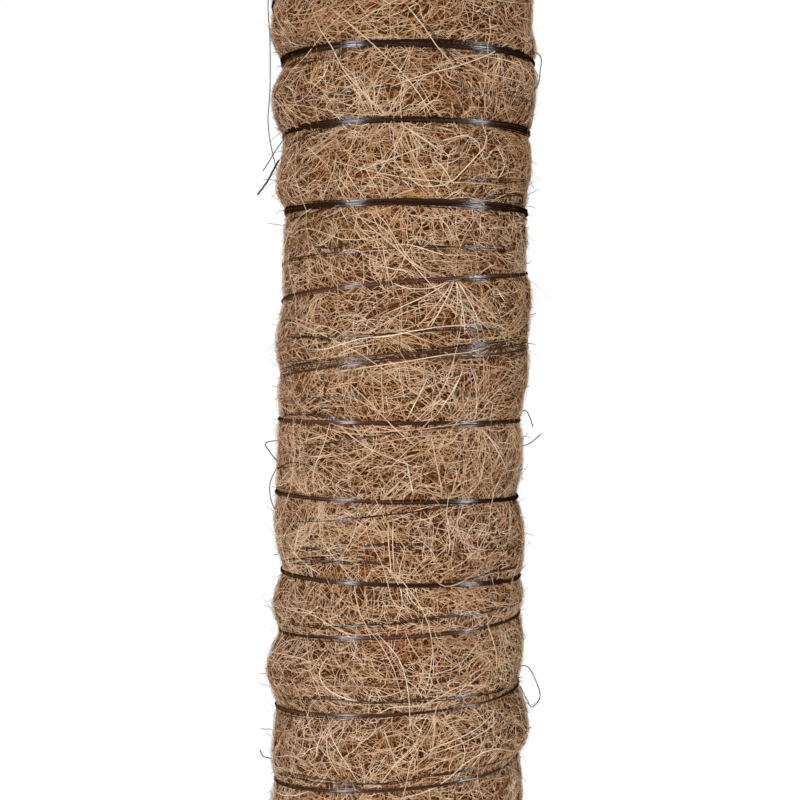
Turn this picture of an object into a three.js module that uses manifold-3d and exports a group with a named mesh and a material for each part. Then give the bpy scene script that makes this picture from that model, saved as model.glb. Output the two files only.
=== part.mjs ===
// A coir moss pole: a pointed wooden stake, two coir wraps and two black binding threads.
// Millimetres, +Z up. The origin is on the pole's axis at the soil line, where the coir ends.
import * as THREE from "three";
import Module from "manifold-3d";

// Stake
const STAKE_DIAMETER = 26;
const STAKE_BURIED_LENGTH = 97;
const STAKE_POINT_LENGTH = 34;
const STAKE_POINT_DIAMETER = 7;
const STAKE_TOP_STANDOUT = 3;

// Coir
const COIR_LENGTH = 300;
const INNER_WRAP_THICKNESS = 5;
const OUTER_WRAP_THICKNESS = 6.4;
const CHANNEL_DEPTH = 1.3;

// Threads: the main one is a flat bundle, the fine one a single strand between its loops
const MAIN_THREAD_WIDTH = 2.2;
const MAIN_THREAD_THICKNESS = 1;
const FINE_THREAD_DIAMETER = 0.6;
const LOOP_PITCH = 14.15;
const THREAD_END_MARGIN = 6.1;

// Clearances
const FIT_CLEARANCE = 0.3;
const CHANNEL_EASE = 0.35;

// How the loops lie, in shares of the pitch: the pattern repeats up the pole.
// A drift lifts or lowers a whole loop. A tilt of 1 climbs one pitch in a turn as a true helix does,
// and a tilt of 0 lies level and climbs only in the hand-over to the next loop, at the back.
const LOOP_DRIFT = [-0.21, -0.18, -0.12, -0.02, 0, 0, 0.02, 0.06, -0.25, -0.13, -0.07];
const LOOP_TILT = [0.85, 0.9, -0.1, 0.1, 0.05, 0.86, 0.72, 0.63, -0.08, -0.06, 0.06];
const END_LOOP_TILT = 0.9;
const HANDOVER_TURNS = 0.4;
const FINE_THREAD_SHARE = 0.4;
const FINE_THREAD_INSET_TURNS = 2;

// Counts and proportions
const STEPS_PER_LOOP = 24;
const KNOT_STEPS = 30;
const KNOT_SIDES = 5;
const KNOT_TURN_PER_THICKNESS = 1.9;
const CROWN_SHARES = [0.3, 0.7];

// A three-lobed knot's reach and half its height at its strand's centre line, in turns' radii
const KNOT_REACH = 1.5;
const KNOT_HALF_HEIGHT = 0.5;

// Corners closer than this are one corner
const MERGE_DISTANCE = 1e-4;

// Derived radii, from the axis outwards
const stakeRadius = STAKE_DIAMETER / 2;
const innerBoreRadius = stakeRadius + FIT_CLEARANCE;
const innerWrapRadius = innerBoreRadius + INNER_WRAP_THICKNESS;
const outerBoreRadius = innerWrapRadius + FIT_CLEARANCE;
const coirRadius = outerBoreRadius + OUTER_WRAP_THICKNESS;
const channelRadius = coirRadius - CHANNEL_DEPTH;
const channelHalfWidth = MAIN_THREAD_WIDTH / 2 + CHANNEL_EASE;

// Derived loop count: as many loops as fit between the two end margins
const endLoopRise = (END_LOOP_TILT * LOOP_PITCH) / 2;
const firstLevel = THREAD_END_MARGIN + endLoopRise - LOOP_DRIFT[0] * LOOP_PITCH;
const lastLevel = COIR_LENGTH - THREAD_END_MARGIN - endLoopRise - Math.max(...LOOP_DRIFT) * LOOP_PITCH;
const loopCount = 1 + Math.floor((lastLevel - firstLevel) / LOOP_PITCH);

const wasm = await Module();
wasm.setup();

const coirMaterial = new THREE.MeshStandardMaterial({ color: "#94745a", roughness: 0.95, metalness: 0 });
const innerCoirMaterial = new THREE.MeshStandardMaterial({ color: "#7d5f45", roughness: 0.95, metalness: 0 });
const woodMaterial = new THREE.MeshStandardMaterial({ color: "#c8a676", roughness: 0.7, metalness: 0 });
const threadMaterial = new THREE.MeshStandardMaterial({ color: "#261a17", roughness: 0.35, metalness: 0 });

// A closed surface from flat lists of coordinates and triangle corners.
function surface(positions, triangles) {
  const geometry = new THREE.BufferGeometry();
  geometry.setAttribute("position", new THREE.BufferAttribute(new Float32Array(positions), 3));
  geometry.setIndex(triangles);
  return geometry;
}

// A turned solid about Z, from [radius, height] points that start and end on the axis or close on themselves.
function turned(profile) {
  const points = profile.map(([radius, height]) => new THREE.Vector2(radius, height));
  return new THREE.LatheGeometry(points, STEPS_PER_LOOP).rotateX(Math.PI / 2);
}

// A sleeve about Z between two radii and two heights.
function sleeve(innerRadius, outerRadius, low, high) {
  return turned([
    [innerRadius, low],
    [outerRadius, low],
    [outerRadius, high],
    [innerRadius, high],
    [innerRadius, low],
  ]);
}

// The solid inside a closed geometry, with corners at one place merged by their rounded coordinates.
function solidOf(geometry) {
  const place = geometry.getAttribute("position");
  const corners = geometry.index ? [...geometry.index.array] : [...Array(place.count).keys()];
  const known = new Map();
  const vertices = [];
  const merged = corners.map((corner) => {
    const point = [place.getX(corner), place.getY(corner), place.getZ(corner)];
    const key = point.map((value) => Math.round(value / MERGE_DISTANCE)).join();
    if (!known.has(key)) {
      known.set(key, known.size);
      vertices.push(...point);
    }
    return known.get(key);
  });
  const triangles = [];
  for (let i = 0; i < merged.length; i += 3) {
    const [a, b, c] = merged.slice(i, i + 3);
    if (a !== b && b !== c && c !== a) triangles.push(a, b, c);
  }
  return new wasm.Manifold(
    new wasm.Mesh({
      numProp: 3,
      vertProperties: new Float32Array(vertices),
      triVerts: new Uint32Array(triangles),
    }),
  );
}

function geometryOf(solid) {
  const mesh = solid.getMesh();
  return surface(mesh.vertProperties, new THREE.BufferAttribute(mesh.triVerts, 1));
}

// The winding's path. Turn 0 starts at the back, and each whole turn comes round to the back again.
const angleAt = (turn) => Math.PI / 2 + 2 * Math.PI * turn;

function loopTilt(loop) {
  const isEnd = loop === 0 || loop === loopCount - 1;
  return isEnd ? END_LOOP_TILT : LOOP_TILT[loop % LOOP_TILT.length];
}

// The straight slope that one loop keeps round the front of the pole.
function loopLine(loop, turn) {
  const level = firstLevel + LOOP_PITCH * (loop + LOOP_DRIFT[loop % LOOP_DRIFT.length]);
  return level + loopTilt(loop) * LOOP_PITCH * (turn - loop - 0.5);
}

// The main thread's height: each loop's own slope, eased into the next one's across the back.
function threadHeight(turn) {
  const next = THREE.MathUtils.clamp(Math.round(turn), 1, loopCount - 1);
  const share = THREE.MathUtils.smoothstep(turn, next - HANDOVER_TURNS / 2, next + HANDOVER_TURNS / 2);
  return THREE.MathUtils.lerp(loopLine(next - 1, turn), loopLine(next, turn), share);
}

// The same path carried on past both ends of the thread, each turn a pitch from its neighbour.
function pathHeight(turn) {
  if (turn < 0) return pathHeight(turn + 1) - LOOP_PITCH;
  if (turn > loopCount) return pathHeight(turn - 1) + LOOP_PITCH;
  return threadHeight(turn);
}

function fineThreadHeight(turn) {
  return THREE.MathUtils.lerp(pathHeight(turn), pathHeight(turn + 1), FINE_THREAD_SHARE);
}

// The outer wrap: a sleeve that the main thread draws in along a channel, and that swells between its loops.
// Its skin is one strip that climbs round the pole, four points across: two on the channel, two on the crown.
// The strip starts below the coir and ends above it, and is then cut to a sleeve with flat ends.
function outerWrapGeometry() {
  const turnsBelow = 1 + Math.ceil(threadHeight(0) / LOOP_PITCH);
  const turnsAbove = 1 + Math.ceil((COIR_LENGTH - threadHeight(loopCount)) / LOOP_PITCH);
  const firstStep = -turnsBelow * STEPS_PER_LOOP;
  const lastStep = (loopCount + turnsAbove) * STEPS_PER_LOOP;
  const positions = [];
  for (let step = firstStep; step <= lastStep; step += 1) {
    const turn = step / STEPS_PER_LOOP;
    const angle = angleAt(turn);
    const isUnderThread = turn >= 0 && turn <= loopCount;
    const floorRadius = isUnderThread ? channelRadius : coirRadius;
    const low = pathHeight(turn) + channelHalfWidth;
    const high = pathHeight(turn + 1) - channelHalfWidth;
    const across = [
      [floorRadius, pathHeight(turn) - channelHalfWidth],
      [floorRadius, low],
      ...CROWN_SHARES.map((share) => [coirRadius, THREE.MathUtils.lerp(low, high, share)]),
    ];
    for (const [radius, height] of across) {
      positions.push(radius * Math.cos(angle), radius * Math.sin(angle), height);
    }
  }
  const rows = 2 + CROWN_SHARES.length;
  const columns = lastStep - firstStep;
  const at = (column, row) => column * rows + row;
  const triangles = [];
  const quad = (a, b, c, d) => triangles.push(a, b, c, a, c, d);
  for (let column = 0; column < columns; column += 1) {
    for (let row = 0; row < rows - 1; row += 1) {
      quad(at(column, row), at(column + 1, row), at(column + 1, row + 1), at(column, row + 1));
    }
    if (column + STEPS_PER_LOOP < columns) {
      const above = column + STEPS_PER_LOOP;
      quad(at(column, rows - 1), at(column + 1, rows - 1), at(above + 1, 0), at(above, 0));
    }
  }
  closeStripEnds(positions, triangles, at, rows, columns);
  const wellOutside = 2 * coirRadius;
  const cutter = solidOf(sleeve(outerBoreRadius, wellOutside, 0, COIR_LENGTH));
  return geometryOf(solidOf(surface(positions, triangles)).intersect(cutter));
}

// Closes a climbing strip with a fan from the axis across its lowest turn and another across its highest.
function closeStripEnds(positions, triangles, at, rows, columns) {
  const bottom = [];
  const top = [];
  for (let step = 0; step <= STEPS_PER_LOOP; step += 1) {
    bottom.push(at(step, 0));
    top.push(at(columns - STEPS_PER_LOOP + step, rows - 1));
  }
  for (let row = rows - 1; row > 0; row -= 1) bottom.push(at(0, row));
  for (let row = rows - 2; row >= 0; row -= 1) top.push(at(columns, row));
  for (const [rim, isTop] of [[bottom, false], [top, true]]) {
    const centre = positions.length / 3;
    const middle = rim.reduce((sum, corner) => sum + positions[3 * corner + 2], 0) / rim.length;
    positions.push(0, 0, middle);
    rim.forEach((corner, i) => {
      const following = rim[(i + 1) % rim.length];
      if (isTop) triangles.push(centre, corner, following);
      else triangles.push(centre, following, corner);
    });
  }
}

// A tube through stations, each with its centre and outward direction; its section is [out, up] offsets.
function tube(stations, section) {
  const positions = [];
  for (const { centre, outward } of stations) {
    for (const [out, up] of section) {
      positions.push(centre.x + out * outward.x, centre.y + out * outward.y, centre.z + up);
    }
  }
  const sides = section.length;
  const triangles = [];
  for (let station = 0; station < stations.length - 1; station += 1) {
    for (let side = 0; side < sides; side += 1) {
      const a = station * sides + side;
      const b = station * sides + ((side + 1) % sides);
      triangles.push(a, a + sides, b + sides, a, b + sides, b);
    }
  }
  const last = (stations.length - 1) * sides;
  for (let side = 1; side < sides - 1; side += 1) {
    triangles.push(0, side, side + 1);
    triangles.push(last, last + side + 1, last + side);
  }
  return surface(positions, triangles);
}

function polar(radius, angle, height) {
  return new THREE.Vector3(radius * Math.cos(angle), radius * Math.sin(angle), height);
}

// Where a thread's end is knotted: the knot lies flat on the coir, one step past the winding's last point.
// The thread climbs to it and runs straight for its own width, square to the knot's nearest turn.
// Direction is -1 at the lower end and 1 at the upper one.
function knottedEnd(thread, turn, direction) {
  const turnRadius = thread.thickness * KNOT_TURN_PER_THICKNESS;
  const strandRadius = thread.thickness / 2;
  const seat = coirRadius + FIT_CLEARANCE + KNOT_HALF_HEIGHT * turnRadius + strandRadius;
  const reach = KNOT_REACH * turnRadius + strandRadius + FIT_CLEARANCE;
  const stepAngle = (2 * Math.PI) / STEPS_PER_LOOP;
  const angle = angleAt(turn) + direction * (stepAngle + Math.atan((reach + thread.width) / seat));
  const height = thread.heightAt(turn + direction / STEPS_PER_LOOP);
  const centre = polar(seat, angle, height);
  const outward = polar(1, angle, 0);
  const away = polar(direction, angle + Math.PI / 2, 0);
  const endOfThread = centre.clone().addScaledVector(away, -reach);
  const startOfRun = endOfThread.clone().addScaledVector(away, -thread.width);
  return { turnRadius, strandRadius, centre, outward, away, endOfThread, startOfRun };
}

// The whole winding: its stations from one knot to the other.
function windingStations(thread, lowerEnd, upperEnd) {
  const stations = [
    { centre: lowerEnd.endOfThread, outward: lowerEnd.outward },
    { centre: lowerEnd.startOfRun, outward: lowerEnd.outward },
  ];
  const steps = (thread.lastTurn - thread.firstTurn) * STEPS_PER_LOOP;
  for (let step = 0; step <= steps; step += 1) {
    const turn = thread.firstTurn + step / STEPS_PER_LOOP;
    const angle = angleAt(turn);
    stations.push({
      centre: polar(thread.pathRadius, angle, thread.heightAt(turn)),
      outward: polar(1, angle, 0),
    });
  }
  stations.push(
    { centre: upperEnd.startOfRun, outward: upperEnd.outward },
    { centre: upperEnd.endOfThread, outward: upperEnd.outward },
  );
  return stations;
}

// The least gap of a winding to itself, between stations half a turn or more apart.
function leastGap(stations, width) {
  let least = Infinity;
  for (let i = 0; i < stations.length; i += 1) {
    for (let j = i + STEPS_PER_LOOP / 2; j < stations.length; j += 1) {
      least = Math.min(least, stations[i].centre.distanceTo(stations[j].centre));
    }
  }
  return least - width;
}

function knotMesh(name, end) {
  const geometry = new THREE.TorusKnotGeometry(end.turnRadius, end.strandRadius, KNOT_STEPS, KNOT_SIDES);
  const mesh = new THREE.Mesh(geometry, threadMaterial);
  const towardsThread = end.away.clone().negate();
  const side = end.outward.clone().cross(towardsThread);
  mesh.name = name;
  mesh.position.copy(end.centre);
  mesh.setRotationFromMatrix(new THREE.Matrix4().makeBasis(towardsThread, side, end.outward));
  return mesh;
}

function namedMesh(name, geometry, material) {
  const mesh = new THREE.Mesh(geometry, material);
  mesh.name = name;
  return mesh;
}

// A thread with a knot at each end.
function boundThread(thread) {
  const lowerEnd = knottedEnd(thread, thread.firstTurn, -1);
  const upperEnd = knottedEnd(thread, thread.lastTurn, 1);
  const stations = windingStations(thread, lowerEnd, upperEnd);
  const group = new THREE.Group();
  group.add(
    namedMesh(`${thread.name}_binding_thread`, tube(stations, thread.section), threadMaterial),
    knotMesh(`${thread.name}_thread_lower_knot`, lowerEnd),
    knotMesh(`${thread.name}_thread_upper_knot`, upperEnd),
  );
  console.log(`${thread.name} thread: least gap to itself ${leastGap(stations, thread.width).toFixed(2)} mm`);
  return group;
}

// A flat bundle's six-sided section, widest at mid-thickness.
function ribbonSection(width, thickness) {
  const [halfWidth, halfThickness] = [width / 2, thickness / 2];
  return [
    [0, -halfWidth],
    [halfThickness, -halfWidth / 2],
    [halfThickness, halfWidth / 2],
    [0, halfWidth],
    [-halfThickness, halfWidth / 2],
    [-halfThickness, -halfWidth / 2],
  ];
}

function squareSection(diameter) {
  const half = diameter / 2;
  return [[half, -half], [half, half], [-half, half], [-half, -half]];
}

const mainThread = {
  name: "main",
  width: MAIN_THREAD_WIDTH,
  thickness: MAIN_THREAD_THICKNESS,
  section: ribbonSection(MAIN_THREAD_WIDTH, MAIN_THREAD_THICKNESS),
  pathRadius: channelRadius + FIT_CLEARANCE + MAIN_THREAD_THICKNESS / 2,
  heightAt: threadHeight,
  firstTurn: 0,
  lastTurn: loopCount,
};

const fineThread = {
  name: "fine",
  width: FINE_THREAD_DIAMETER,
  thickness: FINE_THREAD_DIAMETER,
  section: squareSection(FINE_THREAD_DIAMETER),
  pathRadius: coirRadius + FIT_CLEARANCE + FINE_THREAD_DIAMETER / 2,
  heightAt: fineThreadHeight,
  firstTurn: FINE_THREAD_INSET_TURNS,
  lastTurn: loopCount - FINE_THREAD_INSET_TURNS,
};

const stakeTop = COIR_LENGTH + STAKE_TOP_STANDOUT;
const stakeGeometry = turned([
  [0, -STAKE_BURIED_LENGTH],
  [STAKE_POINT_DIAMETER / 2, -STAKE_BURIED_LENGTH],
  [stakeRadius, STAKE_POINT_LENGTH - STAKE_BURIED_LENGTH],
  [stakeRadius, stakeTop],
  [0, stakeTop],
]);
const innerWrapGeometry = sleeve(innerBoreRadius, innerWrapRadius, 0, COIR_LENGTH);

const mossPole = new THREE.Group();
mossPole.add(
  namedMesh("core_stake", stakeGeometry, woodMaterial),
  namedMesh("inner_coir_wrap", innerWrapGeometry, innerCoirMaterial),
  namedMesh("outer_coir_wrap", outerWrapGeometry(), coirMaterial),
  boundThread(mainThread),
  boundThread(fineThread),
);

export default mossPole;
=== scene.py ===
"""Moss pole: a softwood stake in two wraps of coir felt, bound round with black thread.

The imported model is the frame. Each solid in it is replaced by what the real piece is made of:
turned wood, felted coir under a coat of loose fibres, and bundles of thin filament.
Sizes are in millimetres until a mesh is made, which is in metres.
"""

import logging
import math
from collections.abc import Sequence
from dataclasses import dataclass, field
from enum import Enum
from typing import Any

import bpy
import numpy as np
from mathutils import Matrix, Vector
from numpy.typing import NDArray


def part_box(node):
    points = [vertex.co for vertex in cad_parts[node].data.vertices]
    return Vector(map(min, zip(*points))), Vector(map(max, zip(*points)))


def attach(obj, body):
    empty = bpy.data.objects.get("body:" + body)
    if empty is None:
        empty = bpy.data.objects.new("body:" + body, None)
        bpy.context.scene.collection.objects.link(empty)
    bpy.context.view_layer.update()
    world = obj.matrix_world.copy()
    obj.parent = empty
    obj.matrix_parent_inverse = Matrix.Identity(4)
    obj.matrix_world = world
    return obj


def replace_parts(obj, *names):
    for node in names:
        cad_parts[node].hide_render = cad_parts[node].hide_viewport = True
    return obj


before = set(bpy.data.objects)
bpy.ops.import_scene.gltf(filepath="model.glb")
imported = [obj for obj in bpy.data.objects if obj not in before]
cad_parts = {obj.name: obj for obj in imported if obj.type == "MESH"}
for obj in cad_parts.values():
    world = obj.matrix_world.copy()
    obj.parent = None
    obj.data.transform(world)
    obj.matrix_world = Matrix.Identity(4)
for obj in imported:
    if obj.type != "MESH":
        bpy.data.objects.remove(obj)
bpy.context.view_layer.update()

Floats = NDArray[np.float64]
Ints = NDArray[np.int64]
Bools = NDArray[np.bool_]
Pixels = Sequence[Sequence[float]]

LOG = logging.getLogger("moss_pole")
MM = 0.001
TAU = 2 * math.pi
UP = np.array((0.0, 0.0, 1.0))

# The map of fibres and filaments: a strand's tint is its place along it, and its shade across it.
# A strand covers a small patch, kept inside the map by the margins.
STRAND_MAP = "OFBake"
STRAND_PATCH = (0.06, 0.02)
TINT_MARGIN = 0.04
SHADE_MARGIN = 0.02

# How unlike the filaments of a bundle are in tone, and the angle from one to the next that mixes them
FILAMENT_SPREAD = 0.34
FILAMENT_STEP = 2.4

# The sine of a strand's angle to the outward direction below which it bristles
BRISTLING = 0.25

# Blotches of tone across the whole map, of which about three fall on a strand
BLOTCHES = 45.0

# Where the values of a noise texture mostly lie
NOISE_RANGE = (0.3, 0.7)

# Sockets of a Mix node that mixes colours
MIX_FACTOR, MIX_A, MIX_B, MIX_RESULT = 0, 6, 7, 2


def linear_colour(hex_value: str) -> tuple[float, float, float, float]:
    """Turns an sRGB hex colour into linear red, green, blue and a full alpha.

    Args:
        hex_value: Six hex digits, with or without a leading hash.

    Returns:
        The linear colour, as a node socket takes it.
    """
    digits = hex_value.lstrip("#")
    shares = [int(digits[at : at + 2], 16) / 255 for at in (0, 2, 4)]
    linear = [s / 12.92 if s <= 0.04045 else ((s + 0.055) / 1.055) ** 2.4 for s in shares]
    return (*linear, 1.0)


def add_node(
    tree: bpy.types.NodeTree,
    kind: str,
    inputs: dict[str | int, Any] | None = None,
    stops: Sequence[tuple[float, str]] = (),
    **settings: Any,
) -> bpy.types.Node:
    """Adds a node with its settings, its colour stops, and its inputs set or linked.

    Args:
        tree: The node tree that takes the node.
        kind: The node's type, without the word ShaderNode.
        inputs: A value to set or an output socket to link, by the input's name or number.
        stops: Places and hex colours of a colour ramp.
        settings: Properties of the node.

    Returns:
        The new node.
    """
    node = tree.nodes.new("ShaderNode" + kind)
    for name, value in settings.items():
        setattr(node, name, value)
    for number, (place, colour) in enumerate(stops):
        ramp = node.color_ramp.elements
        stop = ramp[number] if number < 2 else ramp.new(place)
        stop.position = place
        stop.color = linear_colour(colour)
    for socket, value in (inputs or {}).items():
        if isinstance(value, bpy.types.NodeSocket):
            tree.links.new(value, node.inputs[socket])
        else:
            node.inputs[socket].default_value = value
    return node


def new_material(name: str) -> tuple[bpy.types.Material, bpy.types.NodeTree]:
    """Makes an empty node material.

    Args:
        name: The material's name.

    Returns:
        The material and its node tree.
    """
    material = bpy.data.materials.new(name)
    material.use_nodes = True
    material.node_tree.nodes.clear()
    return material, material.node_tree


def even_stops(colours: Sequence[str]) -> list[tuple[float, str]]:
    """Spreads colours evenly over a ramp, as its stops."""
    return [(number / (len(colours) - 1), colour) for number, colour in enumerate(colours)]


def in_order(*values: Any) -> dict[int, Any]:
    """Gives a node's first inputs by number, such as a value, the range it has and the range it gets."""
    return dict(enumerate(values))


def mottled(
    tree: bpy.types.NodeTree,
    colour: bpy.types.NodeSocket,
    place: bpy.types.NodeSocket,
    levels: tuple[float, float],
) -> tuple[bpy.types.NodeSocket, bpy.types.NodeSocket]:
    """Darkens and lightens a colour in blotches over the strands' map.

    Args:
        tree: The node tree.
        colour: The colour to mottle.
        place: Places on the map.
        levels: The brightness of the darkest and the palest blotches, against the colour's own.

    Returns:
        The mottled colour, and the noise that the blotches come from.
    """
    noise = add_node(
        tree, "TexNoise", {"Vector": place, "Scale": BLOTCHES, "Detail": 1.0}, noise_dimensions="2D"
    ).outputs[0]
    level = add_node(tree, "MapRange", in_order(noise, *NOISE_RANGE, *levels))
    scaled = add_node(tree, "VectorMath", {0: colour, "Scale": level.outputs[0]}, operation="SCALE")
    return scaled.outputs[0], noise


def background_rays(tree: bpy.types.NodeTree) -> bpy.types.NodeSocket:
    """Tells rays that show the background from those that light the pole.

    Args:
        tree: The node tree of the floor or the room.

    Returns:
        A socket that is 1 for rays from the camera, off a gloss or through glass, and 0 for others.
    """
    path = add_node(tree, "LightPath").outputs
    bounced = add_node(
        tree, "Math", {0: path["Is Glossy Ray"], 1: path["Is Transmission Ray"]}, operation="MAXIMUM"
    )
    return add_node(
        tree, "Math", {0: path["Is Camera Ray"], 1: bounced.outputs[0]}, operation="MAXIMUM"
    ).outputs[0]


def add_object(name: str, data: bpy.types.ID, matrix: Matrix | None = None) -> bpy.types.Object:
    """Adds an object to the scene.

    Args:
        name: The object's name.
        data: Its mesh, lamp or camera.
        matrix: Where it stands, or nothing for the origin.

    Returns:
        The new object.
    """
    made = bpy.data.objects.new(name, data)
    if matrix is not None:
        made.matrix_world = matrix
    bpy.context.scene.collection.objects.link(made)
    return made


def looking(spot: Sequence[float], target: Sequence[float]) -> Matrix:
    """Gives the place of a camera or lamp that looks from a spot at a target.

    Args:
        spot: Where it stands, in millimetres.
        target: What it looks at, in millimetres.

    Returns:
        Its world matrix, in metres.
    """
    here = Vector(spot) * MM
    aim = Vector(target) * MM - here
    return Matrix.Translation(here) @ aim.to_track_quat("-Z", "Y").to_matrix().to_4x4()


def smooth_step(share: Floats) -> Floats:
    """Eases 0 to 1 by 3s² - 2s³, held outside that range."""
    held = np.clip(share, 0, 1)
    return held * held * (3 - 2 * held)


def polar(radius: Floats, angle: Floats, height: Floats) -> Floats:
    """Places points by radius, angle and height: (r cos a, r sin a, h)."""
    return np.stack(np.broadcast_arrays(radius * np.cos(angle), radius * np.sin(angle), height), -1)


def unit(vectors: Floats) -> Floats:
    """Scales vectors on the last axis to length one."""
    return vectors / np.maximum(np.linalg.norm(vectors, axis=-1, keepdims=True), 1e-9)


def smooth_path(knots: Pixels, count: int) -> Floats:
    """Runs a Catmull-Rom curve through a few points.

    Each stretch is the cubic through its two ends whose slope at an end is half the step
    from the point before that end to the point after it.

    Args:
        knots: The points.
        count: How many points to return, evenly spread over the stretches.

    Returns:
        The points on the curve, one row each.
    """
    given = np.asarray(knots, float)
    padded = np.vstack([2 * given[0] - given[1], given, 2 * given[-1] - given[-2]])
    place = np.linspace(0, len(given) - 1, count)
    start = np.minimum(place.astype(int), len(given) - 2)
    t = (place - start)[:, None]
    before, here, there, after = (padded[start + step] for step in range(4))
    slope_here, slope_there = (there - before) / 2, (after - here) / 2
    return (
        (2 * t**3 - 3 * t**2 + 1) * here
        + (t**3 - 2 * t**2 + t) * slope_here
        + (3 * t**2 - 2 * t**3) * there
        + (t**3 - t**2) * slope_there
    )


@dataclass(frozen=True)
class Ripple:
    """A seeded unevenness round and along the pole: a sum of cosines of angle and height.

    It has up to most_round waves round the pole, and lengths is the range of its wavelengths along it.
    """

    seed: int
    size: float
    most_round: int
    lengths: tuple[float, float]
    waves: int = 24

    def at(self, angle: Floats, height: Floats) -> Floats:
        """Gives the unevenness: size √(2/n) times the sum of cos(round · angle ± rate · height + phase).

        Args:
            angle: Angles round the pole.
            height: Heights, of the same shape.

        Returns:
            The unevenness at each place, of about the given size.
        """
        rng = np.random.default_rng(self.seed)
        rounds = rng.integers(0, self.most_round + 1, self.waves)
        rate = TAU / rng.uniform(*self.lengths, self.waves) * rng.choice([-1, 1], self.waves)
        phase = rng.uniform(0, TAU, self.waves)
        waves = np.cos(rounds * angle[..., None] + rate * height[..., None] + phase)
        return self.size * math.sqrt(2 / self.waves) * waves.sum(-1)


@dataclass(frozen=True)
class Winding:
    """The path of the binding thread, close to that of its solid.

    Some tilts are trimmed to bands measured in the photograph. The turn number runs from 0 at
    the lower knot, with whole turns at the back. Drift lifts a loop and tilt slants it, both in shares
    of the pitch. The pattern of loops repeats up the pole.
    """

    coir_length: float
    pitch: float = 14.15
    end_margin: float = 6.1
    end_tilt: float = 0.9
    handover: float = 0.4
    drift: tuple[float, ...] = (-0.21, -0.18, -0.12, -0.02, 0, 0, 0.02, 0.06, -0.25, -0.13, -0.07)
    tilt: tuple[float, ...] = (0.85, 0.9, 0.05, 0.14, 0.0, 0.86, 0.72, 0.63, -0.14, -0.09, 0.0)

    @property
    def first_level(self) -> float:
        """The level from which loops are counted."""
        return self.end_margin + self.end_tilt * self.pitch / 2 - self.drift[0] * self.pitch

    @property
    def loops(self) -> int:
        """How many loops fit on the coir."""
        end_room = self.end_margin + self.end_tilt * self.pitch / 2 + max(self.drift) * self.pitch
        return 1 + int((self.coir_length - end_room - self.first_level) // self.pitch)

    def loop_line(self, loop: Ints, turn: Floats) -> Floats:
        """Gives the height of a loop's own straight slope: its level plus its tilt times the turn.

        Args:
            loop: Numbers of loops.
            turn: Turns, of the same shape.

        Returns:
            The heights.
        """
        at_end = (loop == 0) | (loop == self.loops - 1)
        tilt = np.where(at_end, self.end_tilt, np.take(self.tilt, loop % len(self.tilt)))
        level = self.first_level + self.pitch * (loop + np.take(self.drift, loop % len(self.drift)))
        return level + tilt * self.pitch * (turn - loop - 0.5)

    def handed_over(self, turn: Floats) -> tuple[Ints, Floats]:
        """Gives the loop that follows the nearest back crossing, and how far it has taken over."""
        following = np.clip(np.floor(turn + 0.5), 1, self.loops - 1).astype(int)
        return following, smooth_step((turn - following) / self.handover + 0.5)

    def height(self, turn: Floats) -> Floats:
        """Gives the thread's height: each loop's slope, eased into the next one's at the back.

        Args:
            turn: Turns of the winding.

        Returns:
            The heights.
        """
        following, share = self.handed_over(turn)
        low = self.loop_line(following - 1, turn)
        return low + (self.loop_line(following, turn) - low) * share

    def per_loop(self, values: Sequence[float], turn: Floats) -> Floats:
        """Eases values from loop to loop.

        Args:
            values: One value a loop, repeated up the pole.
            turn: Turns of the winding.

        Returns:
            The value at each turn.
        """
        following, share = self.handed_over(turn)
        low = np.take(values, (following - 1) % len(values))
        return low + (np.take(values, following % len(values)) - low) * share

    def path(self, turn: Floats) -> Floats:
        """Gives the thread's height, carried on by whole pitches past both ends.

        Args:
            turn: Turns of the winding, also before its start and after its end.

        Returns:
            The heights.
        """
        below = np.ceil(np.maximum(-turn, 0))
        above = np.ceil(np.maximum(turn - self.loops, 0))
        return self.height(turn + below - above) + self.pitch * (above - below)

    def nearest(self, angle: Floats, height: Floats) -> tuple[Floats, Floats]:
        """Finds the binding nearest to each place on the coir, among the five turns round it.

        Args:
            angle: Angles round the pole.
            height: Heights, of the same shape.

        Returns:
            The height above that binding, and the turn at which it passes.
        """
        share = ((angle - math.pi / 2) / TAU) % 1
        guess = np.floor((height - self.first_level) / self.pitch)
        turns = guess[..., None] + np.arange(-2, 3) + share[..., None]
        gaps = height[..., None] - self.path(turns)
        best = np.abs(gaps).argmin(-1)[..., None]
        return np.take_along_axis(gaps, best, -1)[..., 0], np.take_along_axis(turns, best, -1)[..., 0]


def angle_at(turn: Floats) -> Floats:
    """Gives the angle round the pole at a turn: a quarter turn on from +X, then right-handed."""
    return math.pi / 2 + TAU * turn


# Heights, and how far the pole stands out there on its left and its right. The rows were picked from a
# scratch script's measures of the photograph's outline, and a second script moved their heights.
LEFT_LUMPS = (
    (0, 0), (60, 0.1), (88, 0.6), (99, 0.4), (106, 1.2), (113, -0.3), (118, 0.9), (126, -0.5),
    (141, 0.8), (151, -0.4), (155, 0.5), (160, -0.6), (167, 0.2), (188, -0.9), (197, -0.6), (202, 0.4),
    (210, -0.8), (216, 0.8), (221, 1.5), (226, 0), (233, 1.9), (242, 2.1), (264, 0.4), (300, 0.2),
)
RIGHT_LUMPS = (
    (0, 0), (60, 0.1), (89, -0.4), (93, 1.3), (102, -0.5), (124, -0.3), (134, 0.1), (142, -1.1),
    (152, -0.7), (162, -0.5), (169, 1), (177, 0.7), (184, 0.8), (190, -0.3), (197, 0.9), (203, 0.1),
    (215, 1.1), (222, 1), (225, 1.9), (230, 1.8), (234, 0.5), (240, 1.1), (264, 0.4), (300, 0.2),
)


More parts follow.
